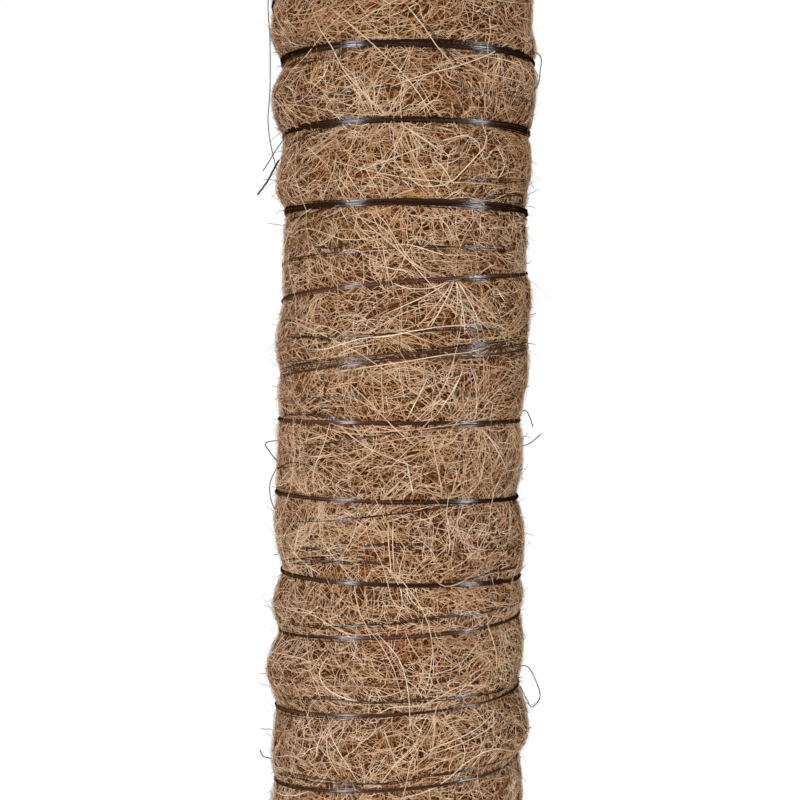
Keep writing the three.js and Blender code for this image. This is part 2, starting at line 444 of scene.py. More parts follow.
@dataclass(frozen=True)
class CoirSurface:
    """The felt's outer form: pillows between the bindings, drawn in where the thread lies.

    Fullness, spread and hold say how thick each loop's bundle is, how wide, and how firmly it holds
    fibres down, as shares of the fullest. Shares of loops repeat up the pole as the winding does.
    Draw rate is how fast the draw-in fades past both ends of the winding, for each turn.
    """

    radius: float
    length: float
    winding: Winding
    draw_in: float = 1.65
    least_draw: float = 0.6
    draw_rate: float = 12.0
    ease: float = 3.3
    band_half: float = 0.64
    seat_share: float = 0.6
    press_margin: float = 0.1
    press_fade: float = 0.5
    press_overrun: float = 0.1
    rim_depth: float = 1.8
    rim_reach: float = 4.0
    proud: float = 0.6
    calmed: float = 0.7
    fullness: tuple[float, ...] = (0.4, 0.3, 1.0, 0.9, 1.0, 0.36, 0.3, 0.3, 0.42, 0.5, 0.42)
    spread: tuple[float, ...] = (1.4, 0.29, 0.84, 0.7, 0.76, 0.29, 0.23, 0.26, 0.42, 0.38, 0.4)
    hold: tuple[float, ...] = (0.1, 0.6, 1.0, 1.0, 1.0, 0.75, 0.65, 0.65, 0.9, 0.92, 0.8)
    swell: Ripple = Ripple(seed=11, size=0.26, most_round=5, lengths=(16, 60))
    lumps: Ripple = Ripple(seed=12, size=0.12, most_round=16, lengths=(7, 20))

    def depth_at(self, turn: Floats) -> Floats:
        """Gives how far the thread draws the felt in at a turn: more where its bundle is fuller."""
        full = self.winding.per_loop(self.fullness, turn)
        return self.draw_in * (self.least_draw + (1 - self.least_draw) * full)

    def half_width_at(self, turn: Floats) -> Floats:
        """Gives half the width of the thread's bundle at a turn."""
        return self.band_half * self.winding.per_loop(self.spread, turn)

    def hold_at(self, turn: Floats) -> Floats:
        """Gives how firmly the thread holds fibres down at a turn."""
        return self.winding.per_loop(self.hold, turn)

    def pinch_at(self, angle: Floats, height: Floats) -> Floats:
        """Gives how firmly fibres are pressed: the hold, fading as exp(-(d / fade)²) beside the thread.

        Args:
            angle: Angles round the pole.
            height: Heights, of the same shape.

        Returns:
            The press at each place, from 0 to 1.
        """
        gap, turn = self.winding.nearest(angle, height)
        away = np.maximum(np.abs(gap) - self.half_width_at(turn) - self.press_margin, 0)
        inside = (turn > -self.press_overrun) & (turn < self.winding.loops + self.press_overrun)
        return np.exp(-((away / self.press_fade) ** 2)) * inside * self.hold_at(turn)

    def radius_at(self, angle: Floats, height: Floats) -> Floats:
        """Gives the radius at each angle and height.

        The radius is the girth, less a draw-in that fades with the distance d beyond the thread's
        seat as exp(-d / ease), less a rounding of the rims, plus two ripples that the thread calms.

        Args:
            angle: Angles round the pole.
            height: Heights, of the same shape.

        Returns:
            The radii.
        """
        gap, turn = self.winding.nearest(angle, height)
        after_start = smooth_step(turn * self.draw_rate + 1)
        bound = after_start * smooth_step((self.winding.loops - turn) * self.draw_rate + 1)
        away = np.maximum(np.abs(gap) - self.seat_share * self.half_width_at(turn), 0)
        fade = np.exp(-away / self.ease)
        to_rim = np.clip(np.minimum(height, self.length - height) / self.rim_reach, 0, 1)
        drawn = self.depth_at(turn) * bound * fade + self.rim_depth * (1 - to_rim) ** 2
        uneven = self.swell.at(angle, height) + self.lumps.at(angle, height)
        return self.girth(angle, height) - drawn + uneven * (1 - self.calmed * fade * bound)

    def girth(self, angle: Floats, height: Floats) -> Floats:
        """Gives the pillows' crown: a little proud, with each side's lumps shared out by cosine.

        Args:
            angle: Angles round the pole.
            height: Heights, of the same shape.

        Returns:
            The crown's radii.
        """
        left, right = (np.interp(height, *zip(*lumps)) for lumps in (LEFT_LUMPS, RIGHT_LUMPS))
        return self.radius + (self.proud + left + (right - left) * (1 + np.cos(angle)) / 2)


@dataclass
class Surface:
    """Points, faces and map places gathered for one piece."""

    points: list[Floats] = field(default_factory=list)
    corners: list[Ints] = field(default_factory=list)
    sizes: list[Ints] = field(default_factory=list)
    places: list[Floats] = field(default_factory=list)
    count: int = 0

    def add(self, points: Floats, faces: Sequence[Ints], places: Floats | None = None) -> None:
        """Adds points with their faces.

        Args:
            points: Points in millimetres, in any grid.
            faces: Arrays of faces, each with as many corners in every row.
            places: The points' places on the strands' map, if they have any.
        """
        flat = points.reshape(-1, 3)
        for group in faces:
            self.corners.append((group + self.count).ravel())
            self.sizes.append(np.full(len(group), group.shape[1]))
        self.points.append(flat)
        self.places.append(np.zeros((len(flat), 2)) if places is None else places.reshape(-1, 2))
        self.count += len(flat)

    def piece(
        self, name: str, material: bpy.types.Material, slot: str, mapped: bool = False
    ) -> bpy.types.Object:
        """Makes the piece, smooth shaded, riding on the pole.

        Args:
            name: The piece's name.
            material: Its finish.
            slot: The record's material slot that the finish belongs to; not used.
            mapped: Whether the map places go into a UV map.

        Returns:
            The new object.
        """
        corners, sizes = np.concatenate(self.corners), np.concatenate(self.sizes)
        mesh = bpy.data.meshes.new(name)
        mesh.vertices.add(self.count)
        mesh.vertices.foreach_set("co", (np.concatenate(self.points) * MM).astype(np.float32).ravel())
        mesh.loops.add(len(corners))
        mesh.loops.foreach_set("vertex_index", corners.astype(np.int32))
        mesh.polygons.add(len(sizes))
        mesh.polygons.foreach_set("loop_start", (np.cumsum(sizes) - sizes).astype(np.int32))
        mesh.update(calc_edges=True)
        mesh.validate()
        mesh.shade_smooth()
        if mapped:
            layer = mesh.uv_layers.new(name=STRAND_MAP)
            layer.data.foreach_set("uv", np.concatenate(self.places)[corners].astype(np.float32).ravel())
        mesh.materials.append(material)
        made = add_object(name, mesh)
        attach(made, "root")
        LOG.info("%s: %d triangles", name, int((sizes - 2).sum()))
        return made


def grid_faces(rows: int, columns: int, closed_rows: bool = False) -> Ints:
    """Gives the quads of a grid whose columns close round.

    Args:
        rows: How many rows of points there are.
        columns: How many points a row has.
        closed_rows: Whether the last row joins the first one.

    Returns:
        The corners' numbers, one row for each quad.
    """
    row = np.arange(rows if closed_rows else rows - 1)[:, None] * columns
    above = (row + columns) % (rows * columns)
    here = np.arange(columns)
    after = (here + 1) % columns
    return np.stack([row + here, row + after, above + after, above + here], -1).reshape(-1, 4)


@dataclass
class Strands:
    """Many thin strands with as many points each: thickness, shade, tint, and how flat they are."""

    points: Floats
    thickness: Floats
    shade: Floats
    tint: Floats
    flat: float = 1.0

    @classmethod
    def filaments(
        cls, points: Floats, thickness: Floats | float, brown: Floats | float, flat: float = 1.0
    ) -> "Strands":
        """Gives thread filaments, each a little browner or blacker than the share given for all.

        Args:
            points: Points of the filaments, one row each.
            thickness: The filaments' thickness, for all or for each point.
            brown: How brown they are, from 0 to 1, for all or for each point.
            flat: How thick they are against their width.

        Returns:
            The filaments.
        """
        count, rings = points.shape[:2]
        tint = np.linspace(TINT_MARGIN, 1 - TINT_MARGIN, count)
        unlike = FILAMENT_SPREAD * np.cos(np.arange(count) * FILAMENT_STEP)[:, None]
        shade = brown + unlike + np.zeros((count, rings))
        return cls(points, thickness + np.zeros((count, rings)), shade, tint, flat)

    def some(self, chosen: Bools) -> "Strands":
        """Picks some of the strands."""
        picked = (values[chosen] for values in (self.points, self.thickness, self.shade, self.tint))
        return Strands(*picked, self.flat)

    def into(self, surface: Surface, sides: int) -> None:
        """Sweeps a closed tube along each strand and adds them all to a surface.

        A tube's ring at a point is p + r (f n cos k + b sin k), where n is the outward direction
        made square to the tangent t, b is t × n, and f is the flatness. Where a strand stands
        nearly straight out, b is square to the upright instead. Flat caps close both ends.

        Args:
            surface: What the tubes are added to.
            sides: How many sides a tube has.
        """
        strands, rings = self.points.shape[:2]
        if not strands:
            return
        tangent = unit(np.gradient(self.points, axis=1))
        outward = unit(self.points * (1, 1, 0))
        side = np.cross(tangent, outward)
        bristling = np.linalg.norm(side, axis=-1, keepdims=True) < BRISTLING
        side = unit(np.where(bristling, np.cross(tangent, UP), side))
        normal = np.cross(side, tangent) * self.flat
        turn = np.arange(sides) * TAU / sides
        ring = normal[:, :, None] * np.cos(turn)[:, None] + side[:, :, None] * np.sin(turn)[:, None]
        points = self.points[:, :, None] + self.thickness[:, :, None, None] / 2 * ring
        first = np.arange(strands)[:, None] * rings * sides
        quads = (first[:, :, None] + grid_faces(rings, sides)).reshape(-1, 4)
        start = first + np.arange(sides)[::-1]
        end = first + (rings - 1) * sides + np.arange(sides)
        surface.add(points, [quads, start, end], self.places(rings, sides))

    def places(self, rings: int, sides: int) -> Floats:
        """Gives the tubes' places on the map: a small patch for each strand at its tint and shade.

        Args:
            rings: How many rings a tube has.
            sides: How many sides a tube has.

        Returns:
            The places, for each strand, ring and side.
        """
        long, wide = STRAND_PATCH
        tint = np.clip(self.tint, TINT_MARGIN, 1 - TINT_MARGIN)[:, None, None]
        along = tint + np.linspace(-long / 2, long / 2, rings)[None, :, None]
        shade = np.clip(self.shade, SHADE_MARGIN, 1 - SHADE_MARGIN).reshape(len(self.shade), -1, 1)
        across = shade + (np.arange(sides) / sides - 0.5) * wide
        return np.stack(np.broadcast_arrays(along, across), -1)


@dataclass(frozen=True)
class CoirFibreFinish:
    """Brown coir: retted husk fibre, combed out and dry, pale straw to red brown.

    The map's first place is a fibre's tint and the second its shade, so all fibres share one
    small pattern. Colours are brighter than the mat looks, because fibres shade each other.
    """

    straw: tuple[str, ...] = ("#552b0a", "#91613b", "#bf946a", "#dbb792", "#ecd2b1", "#f5e2cc")
    russet: tuple[str, ...] = ("#502309", "#894e25", "#b6774c", "#d2a074", "#e5bc96", "#f1d4b6")
    mottle: tuple[float, float] = (0.84, 1.12)
    roughness: float = 0.55

    def material(self) -> bpy.types.Material:
        """Makes the material: tint goes from straw to russet, shade from dark to pale, with mottling.

        Returns:
            The material.
        """
        # To the eye: a dry, matt tangle without shine, in which every strand has a tone of its own.
        material, tree = new_material("coir_fibre")
        place = add_node(tree, "UVMap", uv_map=STRAND_MAP).outputs[0]
        parts = add_node(tree, "SeparateXYZ", {0: place})
        tint, shade = parts.outputs[0], parts.outputs[1]
        straw = add_node(tree, "ValToRGB", {0: shade}, stops=even_stops(self.straw))
        russet = add_node(tree, "ValToRGB", {0: shade}, stops=even_stops(self.russet))
        mixed = add_node(
            tree,
            "Mix",
            {MIX_FACTOR: tint, MIX_A: straw.outputs[0], MIX_B: russet.outputs[0]},
            data_type="RGBA",
        )
        colour, _ = mottled(tree, mixed.outputs[MIX_RESULT], place, self.mottle)
        shader = add_node(
            tree,
            "BsdfPrincipled",
            {"Base Color": colour, "Roughness": self.roughness, "Specular IOR Level": 0.0},
        )
        add_node(tree, "OutputMaterial", {0: shader.outputs[0]})
        return material


@dataclass(frozen=True)
class CoirFeltFinish:
    """Needled coir felt under the loose fibres: brown matted fibre with fine crossing streaks, its colours
    darkened as painted shade of the gaps between the fibres over it.
    """

    # The felt's colours, darker than coir as painted shade of the gaps between the loose fibres
    deep: str = "#2e1306"
    mid: str = "#583318"
    pale: str = "#95683d"
    streak: float = 0.17
    stretch: float = 0.2
    patch: float = 6.0
    patchiness: float = 0.2
    relief: float = 0.4
    roughness: float = 0.9

    def material(self) -> bpy.types.Material:
        """Makes the material: noise stretched two ways for crossing fibres, with bump.

        Returns:
            The material.
        """
        # To the eye: the dark between fibres, broken by the fibres below them. Its darkness is painted shade
        # of these gaps, laid over the felt's own brown.
        material, tree = new_material("coir_felt")
        place = add_node(tree, "TexCoord").outputs["Object"]
        fine = {"Scale": 1 / (self.streak * MM), "Detail": 4.0}
        flat = add_node(tree, "Mapping", {"Vector": place, "Scale": (self.stretch, self.stretch, 1)})
        upright = add_node(
            tree, "Mapping", {"Vector": place, "Rotation": (0.6, 0.3, 0), "Scale": (1, 1, self.stretch)}
        )
        lying = add_node(tree, "TexNoise", {"Vector": flat.outputs[0], **fine})
        standing = add_node(tree, "TexNoise", {"Vector": upright.outputs[0], **fine})
        streaks = add_node(
            tree, "Math", {0: lying.outputs[0], 1: standing.outputs[0]}, operation="MAXIMUM"
        ).outputs[0]
        patches = add_node(
            tree, "TexNoise", {"Vector": place, "Scale": 1 / (self.patch * MM), "Detail": 3.0}
        )
        patched = add_node(
            tree, "Math", in_order(patches.outputs[0], self.patchiness, streaks), operation="MULTIPLY_ADD"
        )
        # Stops darker than the coir's own brown: painted shade of the gaps between the loose fibres
        stops = [(0.58, self.deep), (0.7, self.mid), (0.84, self.pale)]
        colour = add_node(tree, "ValToRGB", {0: patched.outputs[0]}, stops=stops)
        bump = add_node(tree, "Bump", {"Height": streaks, "Strength": 0.9, "Distance": self.relief * MM})
        shader = add_node(
            tree,
            "BsdfPrincipled",
            {
                "Base Color": colour.outputs[0],
                "Normal": bump.outputs[0],
                "Roughness": self.roughness,
                "Specular IOR Level": 0.0,
            },
        )
        add_node(tree, "OutputMaterial", {0: shader.outputs[0]})
        return material


@dataclass(frozen=True)
class FilamentFinish:
    """Black polypropylene filament: extruded and thin, so it is black in a bundle and brown alone.

    The map's second place says how brown a filament is. Its gloss fades at a glancing look, as
    filaments that lie in a groove shade each other there.
    """

    tones: tuple[str, ...] = ("#20100a", "#342014", "#4d3323", "#6a4b38")
    mottle: tuple[float, float] = (0.8, 1.2)
    roughness: tuple[float, float] = (0.12, 0.22)
    index: float = 1.15
    gloss: float = 0.5
    fade: tuple[float, float] = (0.2, 0.42)

    def material(self) -> bpy.types.Material:
        """Makes the material: black to brown by the map, with a faint drift of tone.

        Returns:
            The material.
        """
        # To the eye: smooth dark filaments with a cool white shine where a lamp is mirrored.
        material, tree = new_material("black_polypropylene_filament")
        place = add_node(tree, "UVMap", uv_map=STRAND_MAP).outputs[0]
        parts = add_node(tree, "SeparateXYZ", {0: place})
        tone = add_node(tree, "ValToRGB", {0: parts.outputs[1]}, stops=even_stops(self.tones))
        colour, noise = mottled(tree, tone.outputs[0], place, self.mottle)
        rough = add_node(tree, "MapRange", in_order(noise, *NOISE_RANGE, *self.roughness))
        facing = add_node(tree, "LayerWeight", {"Blend": 0.5}).outputs["Facing"]
        shine = add_node(tree, "MapRange", in_order(facing, *self.fade, self.gloss, 0.0))
        shader = add_node(
            tree,
            "BsdfPrincipled",
            {
                "Base Color": colour,
                "Roughness": rough.outputs[0],
                "IOR": self.index,
                "Specular IOR Level": shine.outputs[0],
            },
        )
        add_node(tree, "OutputMaterial", {0: shader.outputs[0]})
        return material


@dataclass(frozen=True)
class SoftwoodFinish:
    """Planed and turned pine: straw wood with amber latewood lines and fine long pores."""

    early: str = "#d9b783"
    late: str = "#b27f45"
    stain: str = "#8a5f33"
    ring: float = 2.6
    pith: tuple[float, float] = (21.0, 12.0)
    lean: tuple[float, float] = (0.035, 0.05)
    stretch: float = 0.06
    waver: float = 14.0
    shift: float = 3.0
    pore: float = 0.5
    pore_noise: tuple[float, float] = (0.5, 0.75)
    pore_stain: float = 0.55
    relief: float = 0.15
    roughness: float = 0.6

    def material(self) -> bpy.types.Material:
        """Makes the material: growth rings about a leaning pith, with streaks along the grain.

        Returns:
            The material.
        """
        # To the eye: pale wood whose rings run long on the shaft and open into curves on the point.
        material, tree = new_material("turned_softwood")
        place = add_node(tree, "TexCoord").outputs["Object"]
        aside, behind = (offset * MM for offset in self.pith)
        leaning = add_node(
            tree, "Mapping", {"Vector": place, "Location": (aside, behind, 0), "Rotation": (*self.lean, 0)}
        )
        long = add_node(tree, "Mapping", {"Vector": place, "Scale": (1, 1, self.stretch)}).outputs[0]
        waver = add_node(
            tree, "TexNoise", {"Vector": long, "Scale": 1 / (self.waver * MM), "Detail": 2.0}
        )
        shift = add_node(
            tree, "VectorMath", {0: waver.outputs["Color"], "Scale": self.shift * MM}, operation="SCALE"
        )
        moved = add_node(tree, "VectorMath", {0: leaning.outputs[0], 1: shift.outputs[0]}, operation="ADD")
        # A wave of this texture is 2π / 20 long at a scale of 1.
        rings = add_node(
            tree,
            "TexWave",
            {
                "Vector": moved.outputs[0],
                "Scale": TAU / 20 / (self.ring * MM),
                "Distortion": 0.6,
                "Detail": 1.0,
            },
            wave_type="RINGS",
            rings_direction="Z",
            wave_profile="SAW",
        )
        # Real pores are a tenth as wide. These are drawn as coarse as they need to show.
        grain = add_node(tree, "TexNoise", {"Vector": long, "Scale": 1 / (self.pore * MM), "Detail": 3.0})
        ringed = add_node(
            tree, "ValToRGB", {0: rings.outputs["Fac"]}, stops=[(0.25, self.early), (0.95, self.late)]
        )
        streak = add_node(
            tree, "MapRange", in_order(grain.outputs[0], *self.pore_noise, 0.0, self.pore_stain)
        )
        colour = add_node(
            tree,
            "Mix",
            {MIX_FACTOR: streak.outputs[0], MIX_A: ringed.outputs[0], MIX_B: linear_colour(self.stain)},
            data_type="RGBA",
        )
        bump = add_node(
            tree, "Bump", {"Height": grain.outputs[0], "Strength": 0.35, "Distance": self.relief * MM}
        )
        shader = add_node(
            tree,
            "BsdfPrincipled",
            {
                "Base Color": colour.outputs[MIX_RESULT],
                "Normal": bump.outputs[0],
                "Roughness": self.roughness,
                "Specular IOR Level": 0.06,
            },
        )
        add_node(tree, "OutputMaterial", {0: shader.outputs[0]})
        return material


@dataclass(frozen=True)
class StudioFloorFinish:
    """Matt white studio board, which shows the soft shadow."""

    board: str = "#f2f1ef"
    whiteness: float = 0.6

    def material(self) -> bpy.types.Material:
        """Makes the material: a matt board that is seen mostly as plain white.

        Returns:
            The material.
        """
        # To the eye: white paper, a little grey only where the pole keeps light off it.
        material, tree = new_material("white_studio_board")
        board = add_node(tree, "BsdfDiffuse", {"Color": linear_colour(self.board)})
        white = add_node(tree, "Emission", {"Strength": 1.0})
        seen = add_node(tree, "Math", {0: background_rays(tree), 1: self.whiteness}, operation="MULTIPLY")
        mixed = add_node(tree, "MixShader", {0: seen.outputs[0], 1: board.outputs[0], 2: white.outputs[0]})
        add_node(tree, "OutputMaterial", {0: mixed.outputs[0]})
        return material


class LampRole(Enum):
    """What a softbox is for."""

    LIGHT = "lights the coir"
    SHINE = "shows as the shine on the thread"


@dataclass(frozen=True)
class Softbox:
    """A rectangular lamp aimed at the pole: its turn and rise in degrees, and its sizes in millimetres."""

    name: str
    turn: float
    rise: float
    away: float
    width: float
    tall: float
    power: float
    role: LampRole = LampRole.LIGHT
    cool_white: tuple[float, float, float] = (0.88, 0.92, 1.0)

    def hang(self, aim_height: float) -> None:
        """Hangs the lamp, unseen by the camera, with its light or its mirror image left out by its role.

        Args:
            aim_height: The height on the pole that the lamp is aimed at.
        """
        lights = self.role is LampRole.LIGHT
        data = bpy.data.lights.new(self.name, "AREA")
        data.shape = "RECTANGLE"
        data.size = self.width * MM
        data.size_y = self.tall * MM
        data.energy = self.power
        data.color = (1, 1, 1) if lights else self.cool_white
        turn, rise = math.radians(self.turn), math.radians(self.rise)
        level = self.away * math.cos(rise)
        height = self.away * math.sin(rise) + aim_height
        spot = (math.sin(turn) * level, -math.cos(turn) * level, height)
        made = add_object(self.name, data, looking(spot, (0, 0, aim_height)))
        made.visible_camera = False
        made.visible_diffuse = lights
        made.visible_glossy = not lights


SOFTBOXES = (
    Softbox("front_softbox", turn=-10.5, rise=8, away=1600, width=700, tall=800, power=32),
    Softbox("top_softbox", turn=0, rise=82, away=1500, width=1000, tall=1000, power=5),
    Softbox("rear_left_softbox", turn=-163, rise=18, away=1500, width=700, tall=1100, power=13),
    Softbox("rear_right_softbox", turn=163, rise=18, away=1500, width=700, tall=1100, power=13),
    Softbox("left_strip", turn=-50, rise=0, away=1200, width=330, tall=2200, power=560, role=LampRole.SHINE),
    Softbox("right_strip", turn=70, rise=0, away=1200, width=330, tall=2200, power=450, role=LampRole.SHINE),
)


@dataclass(frozen=True)
class Studio:
    """Camera, lamps, floor and background, set up as the photograph was taken."""

    floor_height: float
    distance: float = 367.0
    sidestep: float = -0.3
    eye_height: float = 166.0
    target_height: float = 159.9
    roll: float = math.radians(0.43)
    focal_length: float = 81.4
    sensor: float = 36.0
    frame_pixels: float = 800.0
    nearest_seen: float = 10.0
    lamp_height: float = 150.0
    ambient: float = 0.1
    ambient_colour: tuple[float, float, float, float] = (1, 0.88, 0.75, 1)
    floor_radius: float = 800.0
    floor_hub: float = 1.0
    floor_rings: int = 6
    floor_columns: int = 96

    def camera(self) -> None:
        """Makes the camera, a little above the middle of the coir and leaning a little."""
        data = bpy.data.cameras.new("camera")
        data.lens = self.focal_length
        data.sensor_width = self.sensor
        data.clip_start = self.nearest_seen * MM
        spot = (self.sidestep, -self.distance, self.eye_height)
        target = (self.sidestep, 0, self.target_height)
        lean = Matrix.Rotation(self.roll, 4, "Z")
        bpy.context.scene.camera = add_object("camera", data, looking(spot, target) @ lean)

    def rays(self, pixels: Pixels) -> tuple[Floats, Floats]:
        """Gives the rays through pixels of the photograph.

        Args:
            pixels: Places in the photograph.

        Returns:
            The camera's place, and the direction of the ray through each pixel, in millimetres.
        """
        matrix = np.array(bpy.context.scene.camera.matrix_world)
        offset = (np.asarray(pixels, float) - self.frame_pixels / 2) * self.sensor / self.frame_pixels
        local = np.stack([offset[:, 0], -offset[:, 1], np.full(len(offset), -self.focal_length)], -1)
        return matrix[:3, 3] / MM, unit(local @ matrix[:3, :3].T)

    def on_coir(self, pixels: Pixels, radius: float) -> tuple[Floats, Floats]:
        """Finds where the rays through pixels first meet a cylinder about the pole's axis.

        Args:
            pixels: Places in the photograph.
            radius: The cylinder's radius; a ray that misses it takes its nearest point.

        Returns:
            The angles round the pole and the heights.
        """
        eye, ray = self.rays(pixels)
        flat = (ray[:, :2] ** 2).sum(-1)
        half = (ray[:, :2] * eye[:2]).sum(-1)
        room = np.maximum(half**2 - flat * ((eye[:2] ** 2).sum() - radius**2), 0)
        hit = eye + ray * ((-half - np.sqrt(room)) / flat)[:, None]
        return np.arctan2(hit[:, 1], hit[:, 0]), hit[:, 2]

    def beside_coir(self, pixels: Pixels) -> Floats:
        """Finds where the rays through pixels meet the plane of the pole's outline."""
        eye, ray = self.rays(pixels)
        return eye + ray * (-eye[1] / ray[:, 1])[:, None]

    def light(self) -> None:
        """Hangs the softboxes in a white room that gives a little warm light of its own."""
        for softbox in SOFTBOXES:
            softbox.hang(self.lamp_height)
        world = bpy.data.worlds.new("white_room")
        world.use_nodes = True
        tree = world.node_tree
        tree.nodes.clear()
        fill = add_node(tree, "Background", {"Color": self.ambient_colour, "Strength": self.ambient})
        white = add_node(tree, "Background", {"Color": (1, 1, 1, 1), "Strength": 1.0})
        mixed = add_node(
            tree, "MixShader", {0: background_rays(tree), 1: fill.outputs[0], 2: white.outputs[0]}
        )
        add_node(tree, "OutputWorld", {0: mixed.outputs[0]})
        bpy.context.scene.world = world
        bpy.context.scene.view_settings.view_transform = "Standard"

    def floor(self) -> None:
        """Lays a round board, rings of points closed by a hub, that the stake's point stands on."""
        rings, columns = self.floor_rings, self.floor_columns
        radius = np.linspace(self.floor_hub, self.floor_radius, rings)[:, None]
        angle = np.linspace(0, TAU, columns, endpoint=False)[None]
        points = polar(radius, angle, np.full((rings, columns), self.floor_height))
        faces = [*grid_faces(rings, columns)[:, ::-1].tolist(), list(range(columns))]
        mesh = bpy.data.meshes.new("floor")
        mesh.from_pydata((points.reshape(-1, 3) * MM).tolist(), [], faces)
        mesh.materials.append(StudioFloorFinish().material())
        add_object("floor", mesh)


@dataclass(frozen=True)
class Stake:
    """The turned softwood stake, with a blunt point below and a sawn top."""

    radius: float
    low: float
    high: float
    point_length: float = 34.0
    point_radius: float = 3.5
    tip_height: float = 0.9
    bevel: float = 0.7
    columns: int = 120
    cone_rows: int = 14
    shaft_rows: int = 24
    uneven: Ripple = Ripple(seed=31, size=0.004, most_round=4, lengths=(60, 200))

    def profile(self) -> Floats:
        """Gives the profile: a rounded tip, a cone, a softened shoulder, a shaft and a bevelled top.

        Returns:
            Radii and heights from the tip up, one row each.
        """
        tip, shoulder = self.low + self.tip_height, self.low + self.point_length
        share = np.linspace(0.08, 0.97, self.cone_rows)
        cone_radius = self.point_radius + (self.radius - self.point_radius) * share
        cone_height = tip + share * (self.point_length - self.tip_height)
        shaft_height = np.linspace(shoulder + 12, self.high - 8, self.shaft_rows)
        return np.array(
            [
                (self.point_radius * 0.55, self.low),
                (self.point_radius * 0.85, self.low + 0.25),
                (self.point_radius, tip),
                *zip(cone_radius, cone_height),
                (self.radius * 0.997, shoulder + 0.4),
                (self.radius, shoulder + 1.6),
                *[(self.radius, height) for height in shaft_height],
                (self.radius, self.high - self.bevel - 0.2),
                (self.radius - 0.12 * self.bevel, self.high - self.bevel * 0.6),
                (self.radius - 0.5 * self.bevel, self.high - self.bevel * 0.14),
                (self.radius - self.bevel, self.high),
                (self.radius - self.bevel - 0.4, self.high),
                (self.radius * 0.5, self.high),
                (self.radius * 0.12, self.high),
            ]
        )

    def build(self) -> None:
        """Builds the stake: the profile turned round the axis, times 1 plus a slow unevenness.

        It is nowhere wider than the shaft's radius, and a disc closes each end.
        """
        profile = self.profile()
        rows, columns = len(profile), self.columns
        angle, height = np.meshgrid(np.linspace(0, TAU, columns, endpoint=False), profile[:, 1])
        radius = np.minimum(profile[:, :1] * (1 + self.uneven.at(angle, height)), self.radius)
        disc = np.arange(columns)[None]
        faces = [grid_faces(rows, columns), disc[:, ::-1], (rows - 1) * columns + disc]
        surface = Surface()
        surface.add(polar(radius, angle, height), faces)
        made = surface.piece("turned_stake", SoftwoodFinish().material(), "softwood")
        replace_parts(made, "core_stake")


@dataclass(frozen=True)
class FeltSleeve:
    """A closed ring of felt between an outer form and a plain bore, with ragged ends."""

    bore: float
    length: float
    rows: int = 300
    columns: int = 180
    end_rows: int = 5
    sink: float = 0.45
    ragged: Ripple = Ripple(seed=21, size=0.18, most_round=24, lengths=(20, 40))
    ragged_apart: float = 7.0

    def surface(self, outer: CoirSurface | float) -> Surface:
        """Builds the sleeve: a closed profile of outer wall, top, bore and bottom, turned round.

        Both ends' heights take the ragged ripple, at two places so far apart that they differ.

        Args:
            outer: The outer form, sunk a little under the loose fibres, or a plain radius.

        Returns:
            The sleeve's closed surface.
        """
        angle = np.linspace(0, TAU, self.columns, endpoint=False)
        around, up = np.meshgrid(angle, np.linspace(0, self.length, self.rows))
        if isinstance(outer, CoirSurface):
            wall = outer.radius_at(around, up) - self.sink
        else:
            wall = np.full(around.shape, outer)
        inward = np.linspace(0.15, 1, self.end_rows)[:, None]
        top_height = self.length + self.ragged.at(angle, np.zeros_like(angle))
        low_height = self.ragged.at(angle, np.full_like(angle, self.ragged_apart))
        top = polar(wall[-1] + (self.bore - wall[-1]) * inward, angle, top_height)
        low = polar(self.bore + (wall[0] - self.bore) * (1 - inward[::-1]), angle, low_height)
        points = np.concatenate([polar(wall, around, up), top, low])
        made = Surface()
        made.add(points, [grid_faces(len(points), self.columns, closed_rows=True)])
        return made


class Lie(Enum):
    """Which way a fibre of the mat is headed."""

    MATTED = "every way"
    LEVEL = "nearly level"
    COMBED = "as its neighbours are"


@dataclass(frozen=True)
class FibreBatch:
    """One kind of loose fibre in the coat, in millimetres.

    Shade is the mean and the spread of its tone, and curl the spread of its bends in radians to a
    millimetre. Lift is how far a fibre stands off the felt, bow how much further its middle does, and
    dive how far its ends sink. Lies are the shares of each Lie, and press is the share of fibres that
    pass under the thread.
    """

    thickness: tuple[float, float]
    points: int
    shade: tuple[float, float]
    count: int = 0
    length: tuple[float, float] = (0.0, 0.0)
    curl: float = 0.0
    lift: tuple[float, float] = (0.0, 0.0)
    bow: tuple[float, float] = (0.0, 0.0)
    dive: float = 0.0
    lies: tuple[float, float, float] = (0.55, 0.15, 0.3)
    press: float = 1.0


# Coarse short fibres pressed onto the felt, so that little of it shows
UNDERLAY = FibreBatch(
    thickness=(0.2, 0.3), points=2, shade=(0.32, 0.2), count=14000, length=(3, 6),
    lift=(-0.5, -0.25), dive=0.1,
)
# Broken fibre, the down of the mat, of every tone
DOWN = FibreBatch(
    thickness=(0.2, 0.3), points=2, shade=(0.47, 0.38), count=52000, length=(1.4, 4),
    lift=(-0.4, -0.04), dive=0.1,
)
# The curled fibres that most of the mat's face is made of
MAT = FibreBatch(
    thickness=(0.12, 0.18), points=3, shade=(0.56, 0.32), count=31000, length=(2.5, 6.5), curl=0.32,
    lift=(-0.3, 0.04), bow=(0, 0.2), dive=0.25, press=0.965,
)
# Longer fibres that cross over the mat
TOP = FibreBatch(
    thickness=(0.13, 0.18), points=6, shade=(0.65, 0.23), count=8500, length=(6, 14), curl=0.17,
    lift=(-0.1, 0.12), bow=(0, 0.22), dive=0.4, press=0.87,
)
# Whole pale fibres, the longest ones
LONG = FibreBatch(
    thickness=(0.15, 0.21), points=12, shade=(0.78, 0.13), count=330, length=(20, 48), curl=0.03,
    lift=(0, 0.3), bow=(0.1, 0.4), dive=0.7, lies=(0.7, 0.2, 0.1), press=0.6,
)
